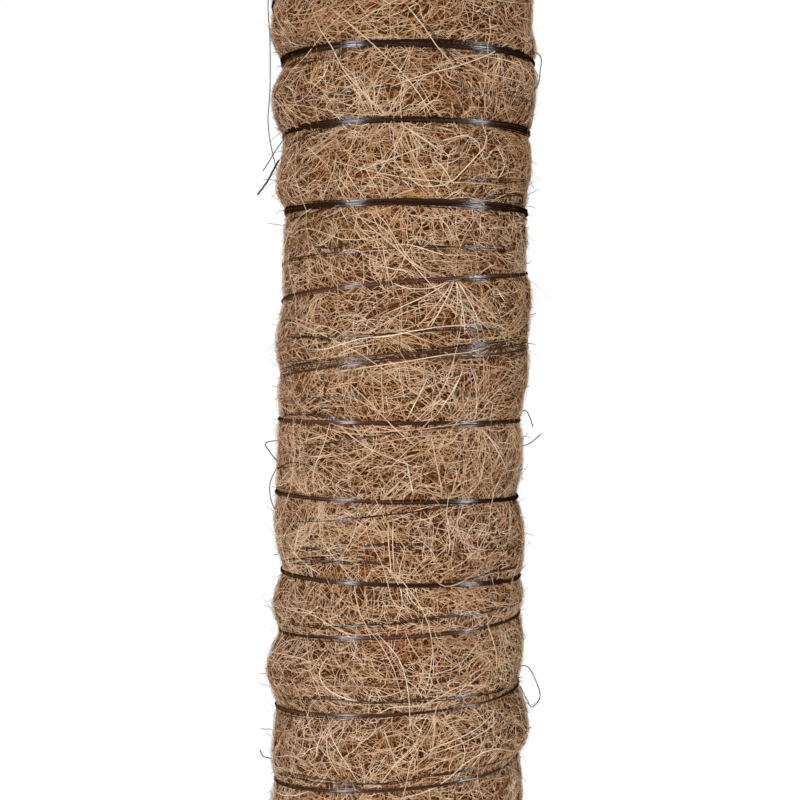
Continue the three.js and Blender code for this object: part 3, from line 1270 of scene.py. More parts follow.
# Fibres that were combed out together and still lie side by side
WISP = FibreBatch(
    thickness=(0.13, 0.18), points=6, shade=(0.62, 0.17), count=2000, length=(8, 16), curl=0.1,
    lift=(-0.1, 0.2), bow=(0, 0.3), dive=0.45, lies=(0.4, 0.3, 0.3), press=0.87,
)
# Pale fibres that spread out from under the thread
FAN = FibreBatch(
    thickness=(0.14, 0.19), points=6, shade=(0.7, 0.13), count=800, length=(5, 13), curl=0.03,
    lift=(0, 0.3), bow=(0, 0.35), dive=0.45,
)
# Dark broad slivers of husk, deep in the mat
HUSK = FibreBatch(
    thickness=(0.35, 0.7), points=4, shade=(0.12, 0.08), count=240, length=(1.2, 4), curl=0.02,
    lift=(-0.4, -0.1), bow=(0, 0.1), dive=0.2,
)
# The slivers of husk that lie on top, placed by paths
SLIVER = FibreBatch(
    thickness=(0.8, 1), points=8, shade=(0.06, 0.03),
    lift=(0.1, 0.2), bow=(0, 0.1), dive=0.3, press=0,
)
# The palest single fibres, placed by paths
PICKED = FibreBatch(
    thickness=(0.2, 0.26), points=14, shade=(0.93, 0.06),
    lift=(0.35, 0.5), bow=(0.1, 0.3), dive=0.9, press=0,
)
# Thin dark hairs that stand off from the mat
HAIR = FibreBatch(
    thickness=(0.11, 0.18), points=4, shade=(0.16, 0.14), count=5000, length=(1.2, 5), curl=0.2
)
# Fibres over each cut end of the coir
END = FibreBatch(
    thickness=(0.16, 0.24), points=4, shade=(0.6, 0.24), count=2800, length=(4, 11), curl=0.1,
    lift=(0, 0.6), bow=(0, 0.3),
)

# Steps whose whole multiples fill a square evenly: the plastic number's inverse and its square
EVEN_STEPS = np.array((0.7548776662, 0.5698402910))


@dataclass
class FibreCoat:
    """The loose coir fibres over the felt.

    Headings and bends are in radians, with 0 for a level fibre. Paler is how much paler the foot of
    the pole is than its top, and tint is the mean and the spread of the fibres' tints.
    """

    form: CoirSurface
    seed: int
    sections: int = 12
    sides: int = 3
    flat: float = 0.16
    taper: float = 0.45
    paler: float = 0.22
    tint: tuple[float, float] = (0.38, 0.19)
    level_spread: float = 0.25
    comb_spread: float = 0.16
    sway: float = 0.3
    sway_beats: tuple[float, float] = (0.7, 2.0)
    overhang: tuple[float, float] = (0.2, 1.6)
    dive_share: tuple[float, float] = (0.2, 1.0)
    pressed: float = -0.3
    wisp_width: float = 1.1
    wisp_stagger: float = 3.0
    wisp_heading: float = 0.08
    wisp_bend: float = 0.01
    fan_root: tuple[float, float] = (0.5, 0.3)
    fan_spread: float = 0.55
    fan_limit: float = 1.2
    hair_root: float = 0.2
    hair_margin: float = 1.0
    hair_reach: tuple[float, float] = (1.5, 0.55)
    hair_rise: tuple[float, float] = (0.8, 2.0)
    stake_gap: tuple[float, float] = (0.2, 1.0)
    rim_gap: tuple[float, float] = (0.0, 0.5)
    rim_margin: float = 1.0
    patches: Ripple = Ripple(seed=41, size=0.025, most_round=9, lengths=(10, 40))
    hues: Ripple = Ripple(seed=43, size=0.18, most_round=8, lengths=(12, 40))
    comb: Ripple = Ripple(seed=42, size=0.8, most_round=7, lengths=(14, 45))
    laid: list[Strands] = field(default_factory=list)
    rng: np.random.Generator = field(init=False)

    def __post_init__(self) -> None:
        """Starts the random lie of the fibres from the seed."""
        self.rng = np.random.default_rng(self.seed)

    def headings(self, batch: FibreBatch, angle: Floats, height: Floats) -> Floats:
        """Draws a heading for each fibre by its lie.

        Args:
            batch: The kind of fibre.
            angle: Angles of the fibres.
            height: Heights of the fibres.

        Returns:
            The headings.
        """
        rng, count = self.rng, len(angle)
        lie = rng.choice(len(Lie), count, p=batch.lies)
        heading = {
            Lie.MATTED: rng.uniform(0, math.pi, count),
            Lie.LEVEL: rng.normal(0, self.level_spread, count),
            Lie.COMBED: self.comb.at(angle, height) + rng.normal(0, self.comb_spread, count),
        }
        return np.choose(lie, [heading[kind] for kind in Lie])

    def trace(
        self, batch: FibreBatch, angle: Floats, height: Floats, heading: Floats, bend: Floats, pivot: int
    ) -> tuple[Floats, Floats]:
        """Runs fibres over the unrolled coat.

        A fibre's heading turns evenly along it and sways once or twice. Its place is the sum of
        its steps along that heading, with the pivot point at the given place.

        Args:
            batch: The kind of fibre.
            angle: Angles of the pivots.
            height: Heights of the pivots.
            heading: Headings halfway along.
            bend: How far the heading turns, in radians to a millimetre.
            pivot: The number of the point that is at the given place.

        Returns:
            The angles and heights of all points, one row for each fibre.
        """
        rng, column = self.rng, (len(angle), 1)
        along = np.linspace(-0.5, 0.5, batch.points)
        length = rng.uniform(*batch.length, column)
        sway = rng.normal(0, self.sway, column)
        beat = along * rng.uniform(*self.sway_beats, column) + rng.random(column)
        turned = heading[:, None] + bend[:, None] * length * along + sway * np.sin(TAU * beat)
        step = length / (batch.points - 1)
        across, up = np.cumsum(np.cos(turned) * step, 1), np.cumsum(np.sin(turned) * step, 1)
        around = angle[:, None] + (across - across[:, pivot, None]) / self.form.radius
        return around, height[:, None] + up - up[:, pivot, None]

    def scatter(self, batch: FibreBatch) -> None:
        """Lays a batch over the whole coat, evenly, by whole multiples of two irrational steps.

        Args:
            batch: The kind of fibre.
        """
        shares = (np.arange(batch.count)[:, None] * EVEN_STEPS + self.rng.random(2)) % 1
        angle, height = TAU * shares[:, 0], self.form.length * shares[:, 1]
        heading = self.headings(batch, angle, height)
        bend = self.rng.normal(0, batch.curl, batch.count)
        self.place(batch, *self.trace(batch, angle, height, heading, bend, batch.points // 2))

    def wisps(self, batch: FibreBatch, groups: int) -> None:
        """Lays a batch as wisps: fibres side by side with nearly the same heading and bend.

        Args:
            batch: The kind of fibre.
            groups: How many wisps share the batch.
        """
        rng, each = self.rng, batch.count // groups
        angle, height = rng.uniform(0, TAU, groups), rng.uniform(0, self.form.length, groups)
        heading = self.headings(batch, angle, height)
        middles = (angle, height, heading, rng.normal(0, batch.curl, groups))
        angle, height, heading, bend = (np.repeat(values, each) for values in middles)
        count = len(angle)
        beside, ahead = rng.normal(0, self.wisp_width, count), rng.normal(0, self.wisp_stagger, count)
        angle = angle + (ahead * np.cos(heading) - beside * np.sin(heading)) / self.form.radius
        height = height + ahead * np.sin(heading) + beside * np.cos(heading)
        heading = heading + rng.normal(0, self.wisp_heading, count)
        bend = bend + rng.normal(0, self.wisp_bend, count)
        self.place(batch, *self.trace(batch, angle, height, heading, bend, batch.points // 2))

    def fans(self, batch: FibreBatch, turns: Floats, downs: Ints) -> None:
        """Lays a batch as fans, pinched under the thread and spread out above or below it.

        Args:
            batch: The kind of fibre.
            turns: The turns of the winding at which the fans are pinched.
            downs: 1 for a fan that spreads downwards, -1 for one that spreads upwards.
        """
        rng, each = self.rng, batch.count // len(turns)
        turn, down = np.repeat(turns, each), np.repeat(downs, each)
        count = len(turn)
        beside, above = self.fan_root
        angle = angle_at(turn) + rng.normal(0, beside, count) / self.form.radius
        height = self.form.winding.path(turn) + rng.normal(0, above, count)
        spread = np.clip(rng.normal(0, self.fan_spread, count), -self.fan_limit, self.fan_limit)
        bend = rng.normal(0, batch.curl, count)
        self.place(batch, *self.trace(batch, angle, height, down * (-math.pi / 2 + spread), bend, 0))

    def pick(self, batch: FibreBatch, studio: Studio, paths: Sequence[Pixels]) -> None:
        """Lays single fibres where the photograph shows them.

        Args:
            batch: The kind of fibre.
            studio: Whose camera finds the places.
            paths: The fibres' paths, in pixels of the photograph.
        """
        crown = self.form.radius + self.form.proud
        found = [studio.on_coir(smooth_path(path, batch.points), crown) for path in paths]
        angle, height = (np.stack(values) for values in zip(*found))
        self.place(batch, angle, height)

    def place(self, batch: FibreBatch, angle: Floats, height: Floats) -> None:
        """Sets fibres on the form.

        The radius is the form's plus a lift that bows up in the middle by 1 - s² and dives at the
        ends by s³. Fibres that run past an end of the coir are folded back.

        Args:
            batch: The kind of fibre.
            angle: Angles of all points, one row for each fibre.
            height: Heights, of the same shape.
        """
        rng, column = self.rng, (len(angle), 1)
        along = np.linspace(-1, 1, batch.points)
        over = rng.uniform(*self.overhang, column)
        height = np.abs(height + over) - over
        height = self.form.length + over - np.abs(self.form.length + over - height)
        lift = rng.uniform(*batch.lift, column) + rng.uniform(*batch.bow, column) * (1 - along**2)
        lift = lift - batch.dive * np.abs(along) ** 3 * rng.uniform(*self.dive_share, column)
        within = np.clip(height, 0, self.form.length)
        under = self.form.pinch_at(angle, within) * (rng.random(column) < batch.press)
        lift = lift + (np.minimum(lift, self.pressed) - lift) * under
        self.keep(batch, polar(self.form.radius_at(angle, within) + lift, angle, height))

    def keep(self, batch: FibreBatch, points: Floats) -> None:
        """Keeps laid fibres, tapered at both ends by s⁴, with a shade and a tint for each.

        Args:
            batch: The kind of fibre.
            points: The fibres' points, one row for each fibre.
        """
        rng, count = self.rng, len(points)
        taper = 1 - self.taper * np.abs(np.linspace(-1, 1, batch.points)) ** 4
        thickness = rng.uniform(*batch.thickness, (count, 1)) * taper
        middle = points[:, batch.points // 2]
        angle, height = np.arctan2(middle[:, 1], middle[:, 0]), middle[:, 2]
        paler = self.paler * (0.5 - height / self.form.length)
        shade = rng.normal(*batch.shade, count) + self.patches.at(angle, height) + paler
        tint = rng.normal(*self.tint, count) + self.hues.at(angle, height)
        self.laid.append(Strands(points, thickness, shade, tint, self.flat))

    def hairs(self, batch: FibreBatch) -> None:
        """Lays stray hairs, rooted in the mat, that rise as a power of their length.

        Args:
            batch: The kind of fibre.
        """
        rng, count = self.rng, batch.count
        angle = rng.uniform(0, TAU, count)
        height = rng.uniform(self.hair_margin, self.form.length - self.hair_margin, count)
        heading, bend = rng.uniform(0, TAU, count), rng.normal(0, batch.curl, count)
        angle, height = self.trace(batch, angle, height, heading, bend, 0)
        along = np.linspace(0, 1, batch.points)
        away = rng.gamma(*self.hair_reach, (count, 1)) * along ** rng.uniform(*self.hair_rise, (count, 1))
        felt = self.form.radius_at(angle, np.clip(height, 0, self.form.length))
        self.keep(batch, polar(felt + away - self.hair_root, angle, height))

    def end_mat(self, batch: FibreBatch, bore: float, level: float, outward: int) -> None:
        """Lays fibres over one cut end of the coir, clear of the stake and folded down over the rim.

        A fibre that would run d past the rim goes out by 0.3 d, for 2 mm at most, and down by
        0.6 d over the first millimetre and by 0.5 d all the way.

        Args:
            batch: The kind of fibre.
            bore: The radius of the stake.
            level: The height of the end.
            outward: 1 where the end faces up, and -1 where it faces down.
        """
        rng, column = self.rng, (batch.count, 1)
        along = np.linspace(-0.5, 0.5, batch.points)
        length = rng.uniform(*batch.length, column)
        angle = rng.uniform(0, TAU, column)
        radius = np.sqrt(rng.uniform(bore**2, (self.form.radius - self.rim_margin) ** 2, column))
        heading = rng.uniform(0, TAU, column) + rng.normal(0, batch.curl, column) * length * along
        step = length / (batch.points - 1)
        x = radius * np.cos(angle) + np.cumsum(np.cos(heading) * step, 1)
        y = radius * np.sin(angle) + np.cumsum(np.sin(heading) * step, 1)
        reach, around = np.hypot(x, y), np.arctan2(y, x)
        clear = bore + rng.uniform(*self.stake_gap, column)
        felt = self.form.radius_at(around, np.full(around.shape, level))
        rim = felt - rng.uniform(*self.rim_gap, column)
        over = np.maximum(reach - rim, 0)
        reach = np.clip(reach, clear, rim + 0.3 * np.minimum(over, 2))
        lift = rng.uniform(*batch.lift, column) + rng.uniform(*batch.bow, column) * (1 - 4 * along**2)
        lift = lift - np.minimum(over, 1) * 0.6 - 0.5 * over
        self.keep(batch, polar(reach, around, level + outward * lift))

    def build(self, material: bpy.types.Material) -> None:
        """Makes the pieces, one for each stretch of the pole's height, by the fibres' mean heights.

        Args:
            material: The finish.
        """
        length, edge = self.form.length, 0.01
        for number in range(self.sections):
            low, high = length * number / self.sections, length * (number + 1) / self.sections
            surface = Surface()
            for strands in self.laid:
                middle = np.clip(strands.points[:, :, 2].mean(1), edge, length - edge)
                strands.some((middle >= low) & (middle < high)).into(surface, self.sides)
            surface.piece(f"coir_fibres_{number + 1:02d}", material, "coir", mapped=True)


def wander(
    rng: np.random.Generator, filaments: int, rates: tuple[float, float], turn: Floats
) -> Floats:
    """Lets filaments wander slowly along their way: half the sum of three seeded sines for each.

    Args:
        rng: Where the sines are drawn from.
        filaments: How many filaments there are.
        rates: The least and the most waves to a turn.
        turn: Turns along the way, in one row.

    Returns:
        Offsets between about -1 and 1, one row for each filament.
    """
    rate = rng.uniform(*rates, (filaments, 3, 1)) * TAU
    phase = rng.uniform(0, TAU, (filaments, 3, 1))
    return np.sin(rate * turn + phase).sum(1) / 2


@dataclass(frozen=True)
class MainThread:
    """The main binding: a loose flat bundle of filaments, a few of which stray from it.

    Places across the bundle are shares of half its width. The thread runs on past both ends of its
    winding by overrun, in turns, and gathers there into the knots. Brown is the tone of a full loop,
    and what a thin and a loosely held loop add to it.
    """

    form: CoirSurface
    bundled: int = 16
    strayed: int = 3
    filament: float = 0.24
    stray: float = 0.14
    flat: float = 0.4
    stack: float = 0.3
    lift: float = 0.25
    looseness: tuple[float, float] = (0.35, 0.9)
    widest: float = 1.7
    widening: float = 0.25
    shifting: float = 0.2
    sinking: float = 0.65
    sunk: float = 0.6
    parting: float = 0.3
    apart: float = 0.4
    slack_width: float = 0.6
    brown: tuple[float, float, float] = (0.1, 0.72, 0.42)
    overrun: float = 0.055
    gathered: float = 0.6
    gather_turns: float = 0.05
    climb_turns: float = 0.042
    stray_brown: float = 0.7
    stray_inset: float = 0.4
    stray_reach: float = 2.4
    stray_depth: float = 0.32
    stray_wave: float = 0.34
    steps: int = 48
    sides: int = 5
    seed: int = 51

    def build(self, material: bpy.types.Material) -> None:
        """Builds the bundle, and the strayed filaments as a piece of their own.

        Args:
            material: The finish.
        """
        rng = np.random.default_rng(self.seed)
        self.bundle(rng, material)
        self.strays(rng, material)

    def turns(self, start: float) -> Floats:
        """Gives the turns at which the thread has points, from a start to as far from the end."""
        loops = self.form.winding.loops
        return np.linspace(start, loops - start, loops * self.steps)[None]

    def across(self, rng: np.random.Generator, turn: Floats) -> Floats:
        """Gives the filaments' places across the bundle, side by side, each wandering, a few far more.

        Args:
            rng: Where the wandering is drawn from.
            turn: Turns of the winding, in one row.

        Returns:
            The places, one row for each filament, as the bundle widens, narrows and shifts.
        """
        least, more = self.looseness
        loose = least + more * rng.random((self.bundled, 1)) ** 3
        own = np.linspace(-1, 1, self.bundled)[:, None]
        place = own + loose * wander(rng, self.bundled, (0.5, 3.6), turn)
        width = 1 + self.widening * wander(rng, 1, (1, 5), turn)
        shift = self.shifting * wander(rng, 1, (1, 5), turn)
        return np.clip(place, -self.widest, self.widest) * width + shift

    def bundle(self, rng: np.random.Generator, material: bpy.types.Material) -> None:
        """Builds the bundle along the winding's path.

        At a place x across the bundle, a filament rises over its neighbours by its order in the
        stack times 1.2 - 0.6 x², less in a thin loop. Most filaments sink where a loop holds
        loosely, and a few part from the rest.

        Args:
            rng: Where the wandering is drawn from.
            material: The finish.
        """
        form, winding = self.form, self.form.winding
        turn = self.turns(-self.overrun)
        full, held = winding.per_loop(form.fullness, turn), form.hold_at(turn)
        past = np.maximum(np.maximum(-turn, turn - winding.loops), 0)
        gather = 1 - self.gathered * smooth_step(past / self.gather_turns)
        climb = smooth_step(past / self.climb_turns)
        to_knot = (self.knot_seat() - form.radius + form.depth_at(turn)) * climb
        across = self.across(rng, turn)
        order = np.abs(wander(rng, self.bundled, (0.2, 1.1), turn))
        rise = self.stack * (1.2 - across**2 * 0.6) * order * (0.4 + 0.6 * full) * gather
        deep = rng.random((self.bundled, 1)) > 1 - self.sinking
        parted = rng.random((self.bundled, 1)) > 1 - self.parting
        apart = self.apart * parted * wander(rng, self.bundled, (0.6, 2.4), turn)
        height = winding.height(turn) + (across * form.half_width_at(turn) + apart) * gather
        seat = form.girth(angle_at(turn), height) - form.depth_at(turn)
        radius = seat + self.lift + (rise - self.sunk * deep * (1 - held)) + to_knot
        thickness = self.filament * (self.slack_width + (1 - self.slack_width) * held)
        plain, thin, slack = self.brown
        brown = plain + thin * (1 - full) ** 2 + slack * (1 - held)
        surface = Surface()
        points = polar(radius, angle_at(turn), height)
        Strands.filaments(points, thickness, brown, self.flat).into(surface, self.sides)
        made = surface.piece("main_thread_bundle", material, "thread", mapped=True)
        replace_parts(made, "main_binding_thread")

    def strays(self, rng: np.random.Generator, material: bpy.types.Material) -> None:
        """Builds the strayed filaments, which wander further from the path and mostly under the fibres.

        Args:
            rng: Where the wandering is drawn from.
            material: The finish.
        """
        turn = self.turns(self.stray_inset)
        aside = self.stray_reach * wander(rng, self.strayed, (0.1, 0.4), turn)
        height = self.form.winding.height(turn) + aside
        angle = np.broadcast_to(angle_at(turn), height.shape)
        wave = self.stray_wave * wander(rng, self.strayed, (0.5, 2.2), turn)
        radius = self.form.radius_at(angle, height) - self.stray_depth + wave
        surface = Surface()
        points = polar(radius, angle, height)
        Strands.filaments(points, self.stray, self.stray_brown).into(surface, self.sides - 1)
        surface.piece("main_thread_strays", material, "thread", mapped=True)

    def knot_seat(self) -> float:
        """Gives the radius at which the knots' middles lie."""
        low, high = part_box("main_thread_lower_knot")
        return math.hypot(*((low + high) / 2 / MM)[:2])


@dataclass(frozen=True)
class FineThread:
    """The fine binding between the main loops: a few filaments that part and meet again."""

    form: CoirSurface
    share: float = 0.4
    inset: float = 2.0
    overrun: float = 0.03
    filaments: int = 3
    filament: float = 0.15
    brown: float = 0.65
    parting: float = 0.4
    depth: float = 0.3
    wave: float = 0.3
    ply: float = 0.08
    steps: int = 48
    sides: int = 4
    seed: int = 52

    def build(self, material: bpy.types.Material) -> None:
        """Builds the strand at a share of the way from each main loop to the next.

        It lies in the felt's face, and waves in and out of it as one, its filaments a little apart.

        Args:
            material: The finish.
        """
        rng = np.random.default_rng(self.seed)
        form, winding = self.form, self.form.winding
        first, last = self.inset - self.overrun, winding.loops - self.inset + self.overrun
        turn = np.linspace(first, last, int((winding.loops - 2 * self.inset) * self.steps))[None]
        low, high = winding.path(turn), winding.path(turn + 1)
        aside = self.parting * wander(rng, self.filaments, (0.1, 0.5), turn)
        height = low + (high - low) * self.share + aside
        angle = np.broadcast_to(angle_at(turn), height.shape)
        wave = self.wave * wander(rng, 1, (0.4, 1.3), turn)
        ply = self.ply * wander(rng, self.filaments, (0.5, 2.2), turn)
        radius = form.radius_at(angle, height) - self.depth + (wave + ply)
        surface = Surface()
        points = polar(radius, angle, height)
        Strands.filaments(points, self.filament, self.brown).into(surface, self.sides)
        strand = surface.piece("fine_thread_strand", material, "thread", mapped=True)
        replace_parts(strand, "fine_binding_thread")


@dataclass(frozen=True)
class Knot:
    """A tied-off end: a three-lobed turn of filaments on the coir, with two cut tails."""

    node: str
    turn_radius: float
    strand: float
    tail: float
    filaments: int = 5
    filament: float = 0.22
    brown: float = 0.1
    twist: float = 2.5
    tail_brown: float = 0.2
    tail_heading: tuple[float, float, float] = (-0.8, 0.7, 0.15)
    splay: float = 0.25
    sag: float = 0.35
    turn_points: int = 64
    tail_points: int = 10
    sides: int = 4
    seed: int = 53

    def build(self, material: bpy.types.Material) -> None:
        """Builds the knot where its solid lies.

        The middle line is the trefoil ((2 + cos 3u/2) cos u, (2 + cos 3u/2) sin u, sin 3u/2)
        times half the turn's radius, laid flat on the coir. Filaments twist round it. Each tail
        splays out sideways and down, and sags with the square of its length.

        Args:
            material: The finish.
        """
        rng = np.random.default_rng(self.seed)
        low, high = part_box(self.node)
        centre = np.array((low + high) / 2 / MM)
        outward = unit(centre * (1, 1, 0))
        level = np.cross(UP, outward)
        u = np.linspace(0, 4 * math.pi, self.turn_points)[None]
        spin = u * self.twist + np.arange(self.filaments)[:, None] * TAU / self.filaments
        wide = 2 + np.cos(1.5 * u) + np.cos(spin) * self.strand / self.turn_radius
        flat = np.stack(np.broadcast_arrays(wide * np.cos(u), wide * np.sin(u)), -1) * self.turn_radius / 2
        lift = np.sin(1.5 * u) * self.turn_radius / 2 + np.sin(spin) * self.strand / 2
        points = centre + flat[..., :1] * level + flat[..., 1:] * UP + lift[..., None] * outward
        surface = Surface()
        Strands.filaments(points, self.filament, self.brown).into(surface, self.sides)
        rising, aside, off = self.tail_heading
        along = np.linspace(0, 1, self.tail_points)[:, None]
        sag = -self.sag * self.tail * along**2 * (outward * 0.15 + UP * 0.6)
        for side in (-1, 1):
            splay = rng.normal(0, self.splay, (self.filaments, 1, 3))
            heading = unit(rising * UP + side * aside * level + off * outward + splay)
            root = centre + side * level * self.turn_radius * 0.9
            tails = root + heading * along * self.tail + sag
            Strands.filaments(tails, self.filament, self.tail_brown).into(surface, self.sides)
        tied = surface.piece(self.node.replace("knot", "tied_knot"), material, "thread", mapped=True)
        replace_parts(tied, self.node)


# Paths of single fibres and filaments, given in pixels of the photograph's 800 by 800 frame
PICKED_PATHS = (
    ((314, 0), (325, 34), (342, 64), (369, 98), (388, 115)),
    ((331, 6), (364, 36), (395, 66), (417, 93), (432, 117)),
    ((404, 2), (420, 24), (444, 56), (454, 69)),
    ((485, 6), (486, 33), (485, 56), (482, 78), (479, 98)),
    ((390, 88), (423, 76), (455, 67), (491, 53), (506, 43)),
    ((485, 56), (509, 64), (523, 78), (529, 98)),
    ((393, 159), (411, 179), (424, 186), (449, 183), (470, 162), (486, 139), (481, 113)),
    ((433, 158), (443, 168), (450, 179), (447, 186)),
    ((353, 173), (392, 159), (424, 146)),
    ((398, 122), (423, 139), (444, 153)),
    ((442, 141), (462, 136), (475, 142), (479, 153)),
    ((328, 60), (330, 70), (325, 81), (311, 93)),
    ((340, 168), (342, 180), (353, 197)),
    ((345, 168), (356, 187), (366, 202)),
    ((497, 148), (501, 166), (497, 181)),
    ((340, 213), (371, 221), (391, 235), (403, 255), (424, 270), (445, 274)),
    ((371, 210), (385, 222), (397, 241), (413, 262), (430, 271)),
    ((391, 282), (407, 288), (430, 288), (452, 280)),
    ((456, 278), (425, 296), (383, 315)),
    ((456, 278), (438, 302), (417, 327)),
    ((456, 278), (445, 300), (430, 327)),
    ((457, 278), (456, 300), (454, 323)),
    ((457, 278), (460, 305), (464, 335)),
    ((458, 278), (467, 300), (479, 327)),
    ((458, 278), (474, 298), (495, 321)),
    ((304, 349), (325, 349), (340, 345), (365, 338), (390, 336), (430, 328), (490, 323)),
    ((317, 376), (354, 369), (403, 362), (444, 355), (475, 351), (511, 337)),
    ((348, 384), (364, 398), (380, 414), (396, 430), (419, 449)),
    ((337, 426), (350, 436), (369, 449), (391, 458), (419, 469)),
    ((327, 416), (327, 431), (320, 453), (314, 473), (310, 497)),
    ((332, 459), (344, 464), (358, 461), (371, 453), (376, 443)),
    ((381, 365), (382, 390), (383, 416)),
    ((471, 365), (476, 392), (480, 422)),
    ((464, 368), (452, 392), (438, 416)),
    ((428, 378), (418, 398), (407, 420)),
    ((432, 437), (436, 459), (444, 498)),
    ((484, 427), (499, 450), (514, 472)),
    ((407, 463), (410, 479), (414, 496)),
    ((388, 520), (389, 547), (391, 574)),
    ((393, 522), (393, 548), (394, 572)),
    ((447, 520), (449, 540), (449, 557)),
    ((285, 535), (298, 557), (316, 575)),
    ((430, 569), (437, 581), (448, 587), (463, 583), (479, 571), (486, 561)),
    ((377, 635), (399, 659), (408, 692), (411, 733)),
    ((434, 647), (430, 666), (425, 689)),
    ((488, 609), (494, 646), (496, 676)),
    ((428, 751), (467, 733), (489, 718), (500, 707)),
    ((430, 756), (466, 740), (490, 726), (504, 713)),
    ((440, 715), (459, 738), (463, 753), (463, 774)),
    ((326, 655), (321, 672), (330, 689), (348, 699), (369, 702)),
    ((327, 727), (323, 740), (320, 756)),
    ((328, 727), (332, 752), (340, 779)),
    ((328, 727), (342, 750), (358, 783)),
    ((383, 728), (392, 751), (398, 770)),
)

SLIVER_PATHS = (
    ((325, 381), (323, 388), (321, 396)),
    ((514, 776), (507, 786), (497, 798)),
)

THREAD_PATHS = (
    ((410, 9), (438, 43), (454, 66), (458, 93), (457, 126), (457, 150), (458, 180)),
    ((283, 68), (305, 62), (335, 56), (352, 47)),
    ((285, 145), (305, 136), (335, 125), (360, 120)),
    ((456, 180), (483, 181), (524, 180)),
    ((440, 204), (471, 199), (497, 195), (526, 194)),
    ((284, 223), (296, 216), (319, 209), (345, 204)),
    ((313, 248), (330, 247), (350, 246)),
    ((403, 241), (430, 248), (474, 248), (512, 250)),
    ((281, 336), (310, 337), (338, 338), (358, 336), (412, 332), (440, 330), (527, 330)),
    ((283, 368), (316, 363), (344, 359), (408, 352), (440, 348), (473, 344), (525, 337)),
    ((281, 374), (311, 369), (344, 365), (373, 361), (414, 355), (455, 351), (525, 344)),
    ((279, 445), (316, 444), (344, 439), (373, 435), (412, 430), (440, 429), (473, 427), (518, 423)),
    ((281, 416), (299, 414), (320, 416), (345, 421)),
    ((279, 468), (292, 465), (316, 465)),
    ((279, 521), (329, 521), (359, 518), (388, 514), (421, 510), (473, 503), (518, 497)),
    ((283, 563), (320, 563), (357, 564)),
    ((279, 550), (300, 549), (325, 549)),
    ((281, 561), (300, 559), (337, 557)),
    ((362, 545), (390, 543), (426, 543)),
    ((358, 563), (376, 562), (392, 561)),
    ((440, 584), (477, 576), (519, 565)),
    ((288, 622), (329, 626), (366, 624), (399, 622), (431, 617), (477, 613), (510, 606)),
    ((277, 698), (329, 698), (359, 702), (385, 702), (412, 699), (458, 696), (495, 692), (517, 686)),
    ((275, 772), (301, 776), (329, 781), (366, 783), (394, 782), (421, 776), (458, 772), (514, 758)),
)

LOOSE_PATHS = (
    (
        (281, -18), (272, -8), (268, 4), (270, 40), (270, 90), (268, 118),
        (270, 140), (275, 163), (279, 176),
    ),
    ((284, 139), (276, 150), (270, 160), (263, 171)),
    ((281, 440), (266, 443), (270, 452), (280, 464)),
    ((280, 462), (271, 480), (270, 494), (274, 508), (281, 518)),
    ((524, 57), (534, 52), (541, 58), (540, 72), (538, 85), (531, 92)),
    ((519, 666), (528, 667), (536, 681), (540, 697), (532, 707), (527, 700), (520, 686)),
    ((518, 737), (526, 731), (531, 727)),
    ((279, 760), (269, 758), (263, 756), (260, 750)),
    ((516, 447), (526, 445), (533, 441), (541, 434)),
    ((519, 412), (526, 411), (530, 418), (533, 427)),
)

STUB_PATH = ((279, 160), (274, 169), (267, 182), (257.5, 195))


@dataclass(frozen=True)
class LooseFilaments:
    """Thread filaments that have left the bundle, laid where the photograph shows them."""

    form: CoirSurface
    studio: Studio
    lying: float = 0.17
    lying_brown: float = 0.45
    sprung: float = 0.22
    sprung_brown: float = 0.35
    each: int = 3
    groove: float = 0.3
    aside: float = 0.35
    lift: float = 0.19
    wave: float = 0.16
    dive: float = 0.9
    stub_plies: int = 3
    stub_radius: float = 0.13
    stub_turns: int = 2
    points: int = 30
    lying_sides: int = 4
    sprung_sides: int = 5
    seed: int = 54

    def build(self, material: bpy.types.Material) -> None:
        """Builds those that lie on the coir and those that stand off from its outline, as one piece.

        Args:
            material: The finish.
        """
        surface = Surface()
        self.lay(surface)
        self.spring(surface)
        surface.piece("main_thread_loose_filaments", material, "thread", mapped=True)

    def lay(self, surface: Surface) -> None:
        """Lays a few filaments along each path on the coir, which wander and dive at both ends by s¹⁰.

        Args:
            surface: What they are added to.
        """
        rng = np.random.default_rng(self.seed)
        share = np.linspace(0, 1, self.points)[None]
        dive = self.dive * np.abs(np.linspace(-1, 1, self.points)) ** 10
        for path in THREAD_PATHS:
            places = smooth_path(path, self.points)
            angle, height = self.studio.on_coir(places, self.form.radius - self.groove)
            height = height + self.aside * wander(rng, self.each, (0.4, 1.5), share)
            angle = np.broadcast_to(angle, height.shape)
            lift = self.lift + self.wave * wander(rng, self.each, (0.5, 2.5), share) - dive
            points = polar(self.form.radius_at(angle, height) + lift, angle, height)
            Strands.filaments(points, self.lying, self.lying_brown).into(surface, self.lying_sides)

    def spring(self, surface: Surface) -> None:
        """Builds the filaments beside the pole, and a stub of plies that turn round each other as a helix.

        Args:
            surface: What they are added to.
        """
        routes = [self.studio.beside_coir(smooth_path(path, self.points)) for path in LOOSE_PATHS]
        stub = self.studio.beside_coir(smooth_path(STUB_PATH, self.points))
        twist = np.linspace(0, self.stub_turns * TAU, self.points)
        for number in range(self.stub_plies):
            turn = twist + number * TAU / self.stub_plies
            routes.append(stub + polar(np.full_like(turn, self.stub_radius), turn, np.zeros_like(turn)))
        sprung = Strands.filaments(np.stack(routes), self.sprung, self.sprung_brown)
        sprung.into(surface, self.sprung_sides)


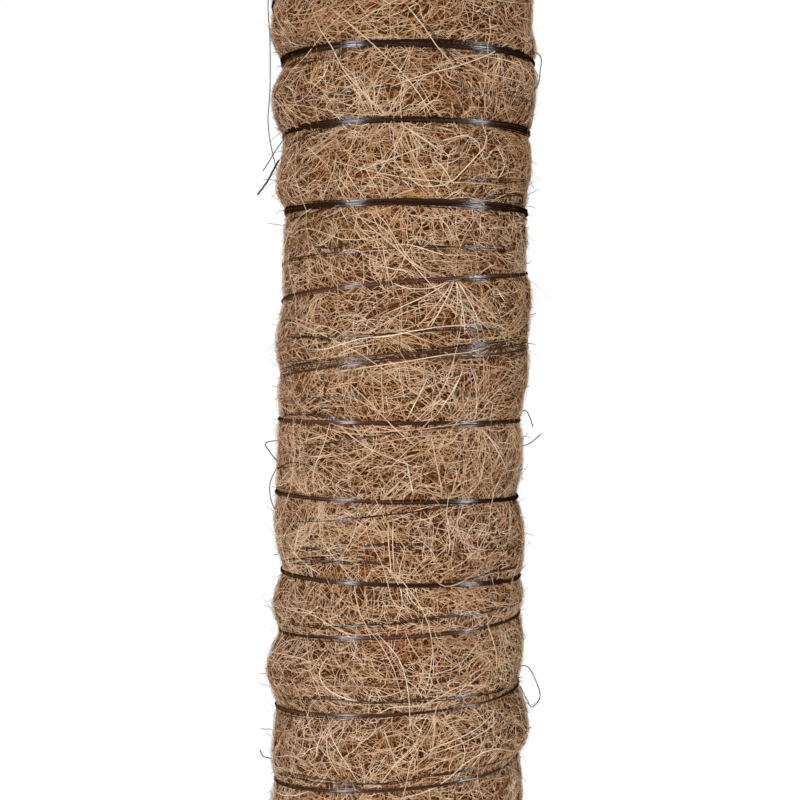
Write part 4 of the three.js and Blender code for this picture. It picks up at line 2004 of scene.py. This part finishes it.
# The room between the pieces, as between their solids
CLEARANCE = 0.3


def main() -> None:
    """Builds the pole in order, then the studio round it."""
    logging.basicConfig(level=logging.INFO, format="%(message)s")
    stake_low, stake_high = (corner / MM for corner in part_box("core_stake"))
    inner_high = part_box("inner_coir_wrap")[1] / MM
    coir_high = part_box("outer_coir_wrap")[1] / MM
    length = coir_high.z
    studio = Studio(floor_height=stake_low.z)
    studio.camera()
    winding = Winding(coir_length=length)
    form = CoirSurface(radius=coir_high.x, length=length, winding=winding)
    felt = CoirFeltFinish().material()
    fibre = CoirFibreFinish().material()
    filament = FilamentFinish().material()
    Stake(radius=stake_high.x, low=stake_low.z, high=stake_high.z).build()
    outer = FeltSleeve(bore=inner_high.x + CLEARANCE, length=length).surface(form)
    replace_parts(outer.piece("outer_coir_felt", felt, "coir"), "outer_coir_wrap")
    inner = FeltSleeve(bore=stake_high.x + CLEARANCE, length=length, rows=8).surface(inner_high.x)
    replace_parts(inner.piece("inner_coir_felt", felt, "inner_coir"), "inner_coir_wrap")
    coat = FibreCoat(form, seed=61)
    for batch in (UNDERLAY, DOWN, MAT, TOP, LONG, HUSK):
        coat.scatter(batch)
    coat.wisps(WISP, groups=160)
    rng, fans = np.random.default_rng(62), 80
    coat.fans(FAN, rng.uniform(1, winding.loops - 1, fans), rng.choice([-1, 1], fans))
    coat.pick(PICKED, studio, PICKED_PATHS)
    coat.pick(SLIVER, studio, SLIVER_PATHS)
    coat.hairs(HAIR)
    for level, outward in ((0.0, -1), (length, 1)):
        coat.end_mat(END, stake_high.x, level, outward)
    coat.build(fibre)
    MainThread(form).build(filament)
    FineThread(form).build(filament)
    for level in ("lower", "upper"):
        Knot(f"main_thread_{level}_knot", turn_radius=1.9, strand=0.3, tail=8.0).build(filament)
        Knot(
            f"fine_thread_{level}_knot", turn_radius=1.14, strand=0.15, tail=5.0, filaments=3, filament=0.2
        ).build(filament)
    LooseFilaments(form, studio).build(filament)
    studio.light()
    studio.floor()


if __name__ == "__main__":
    main()
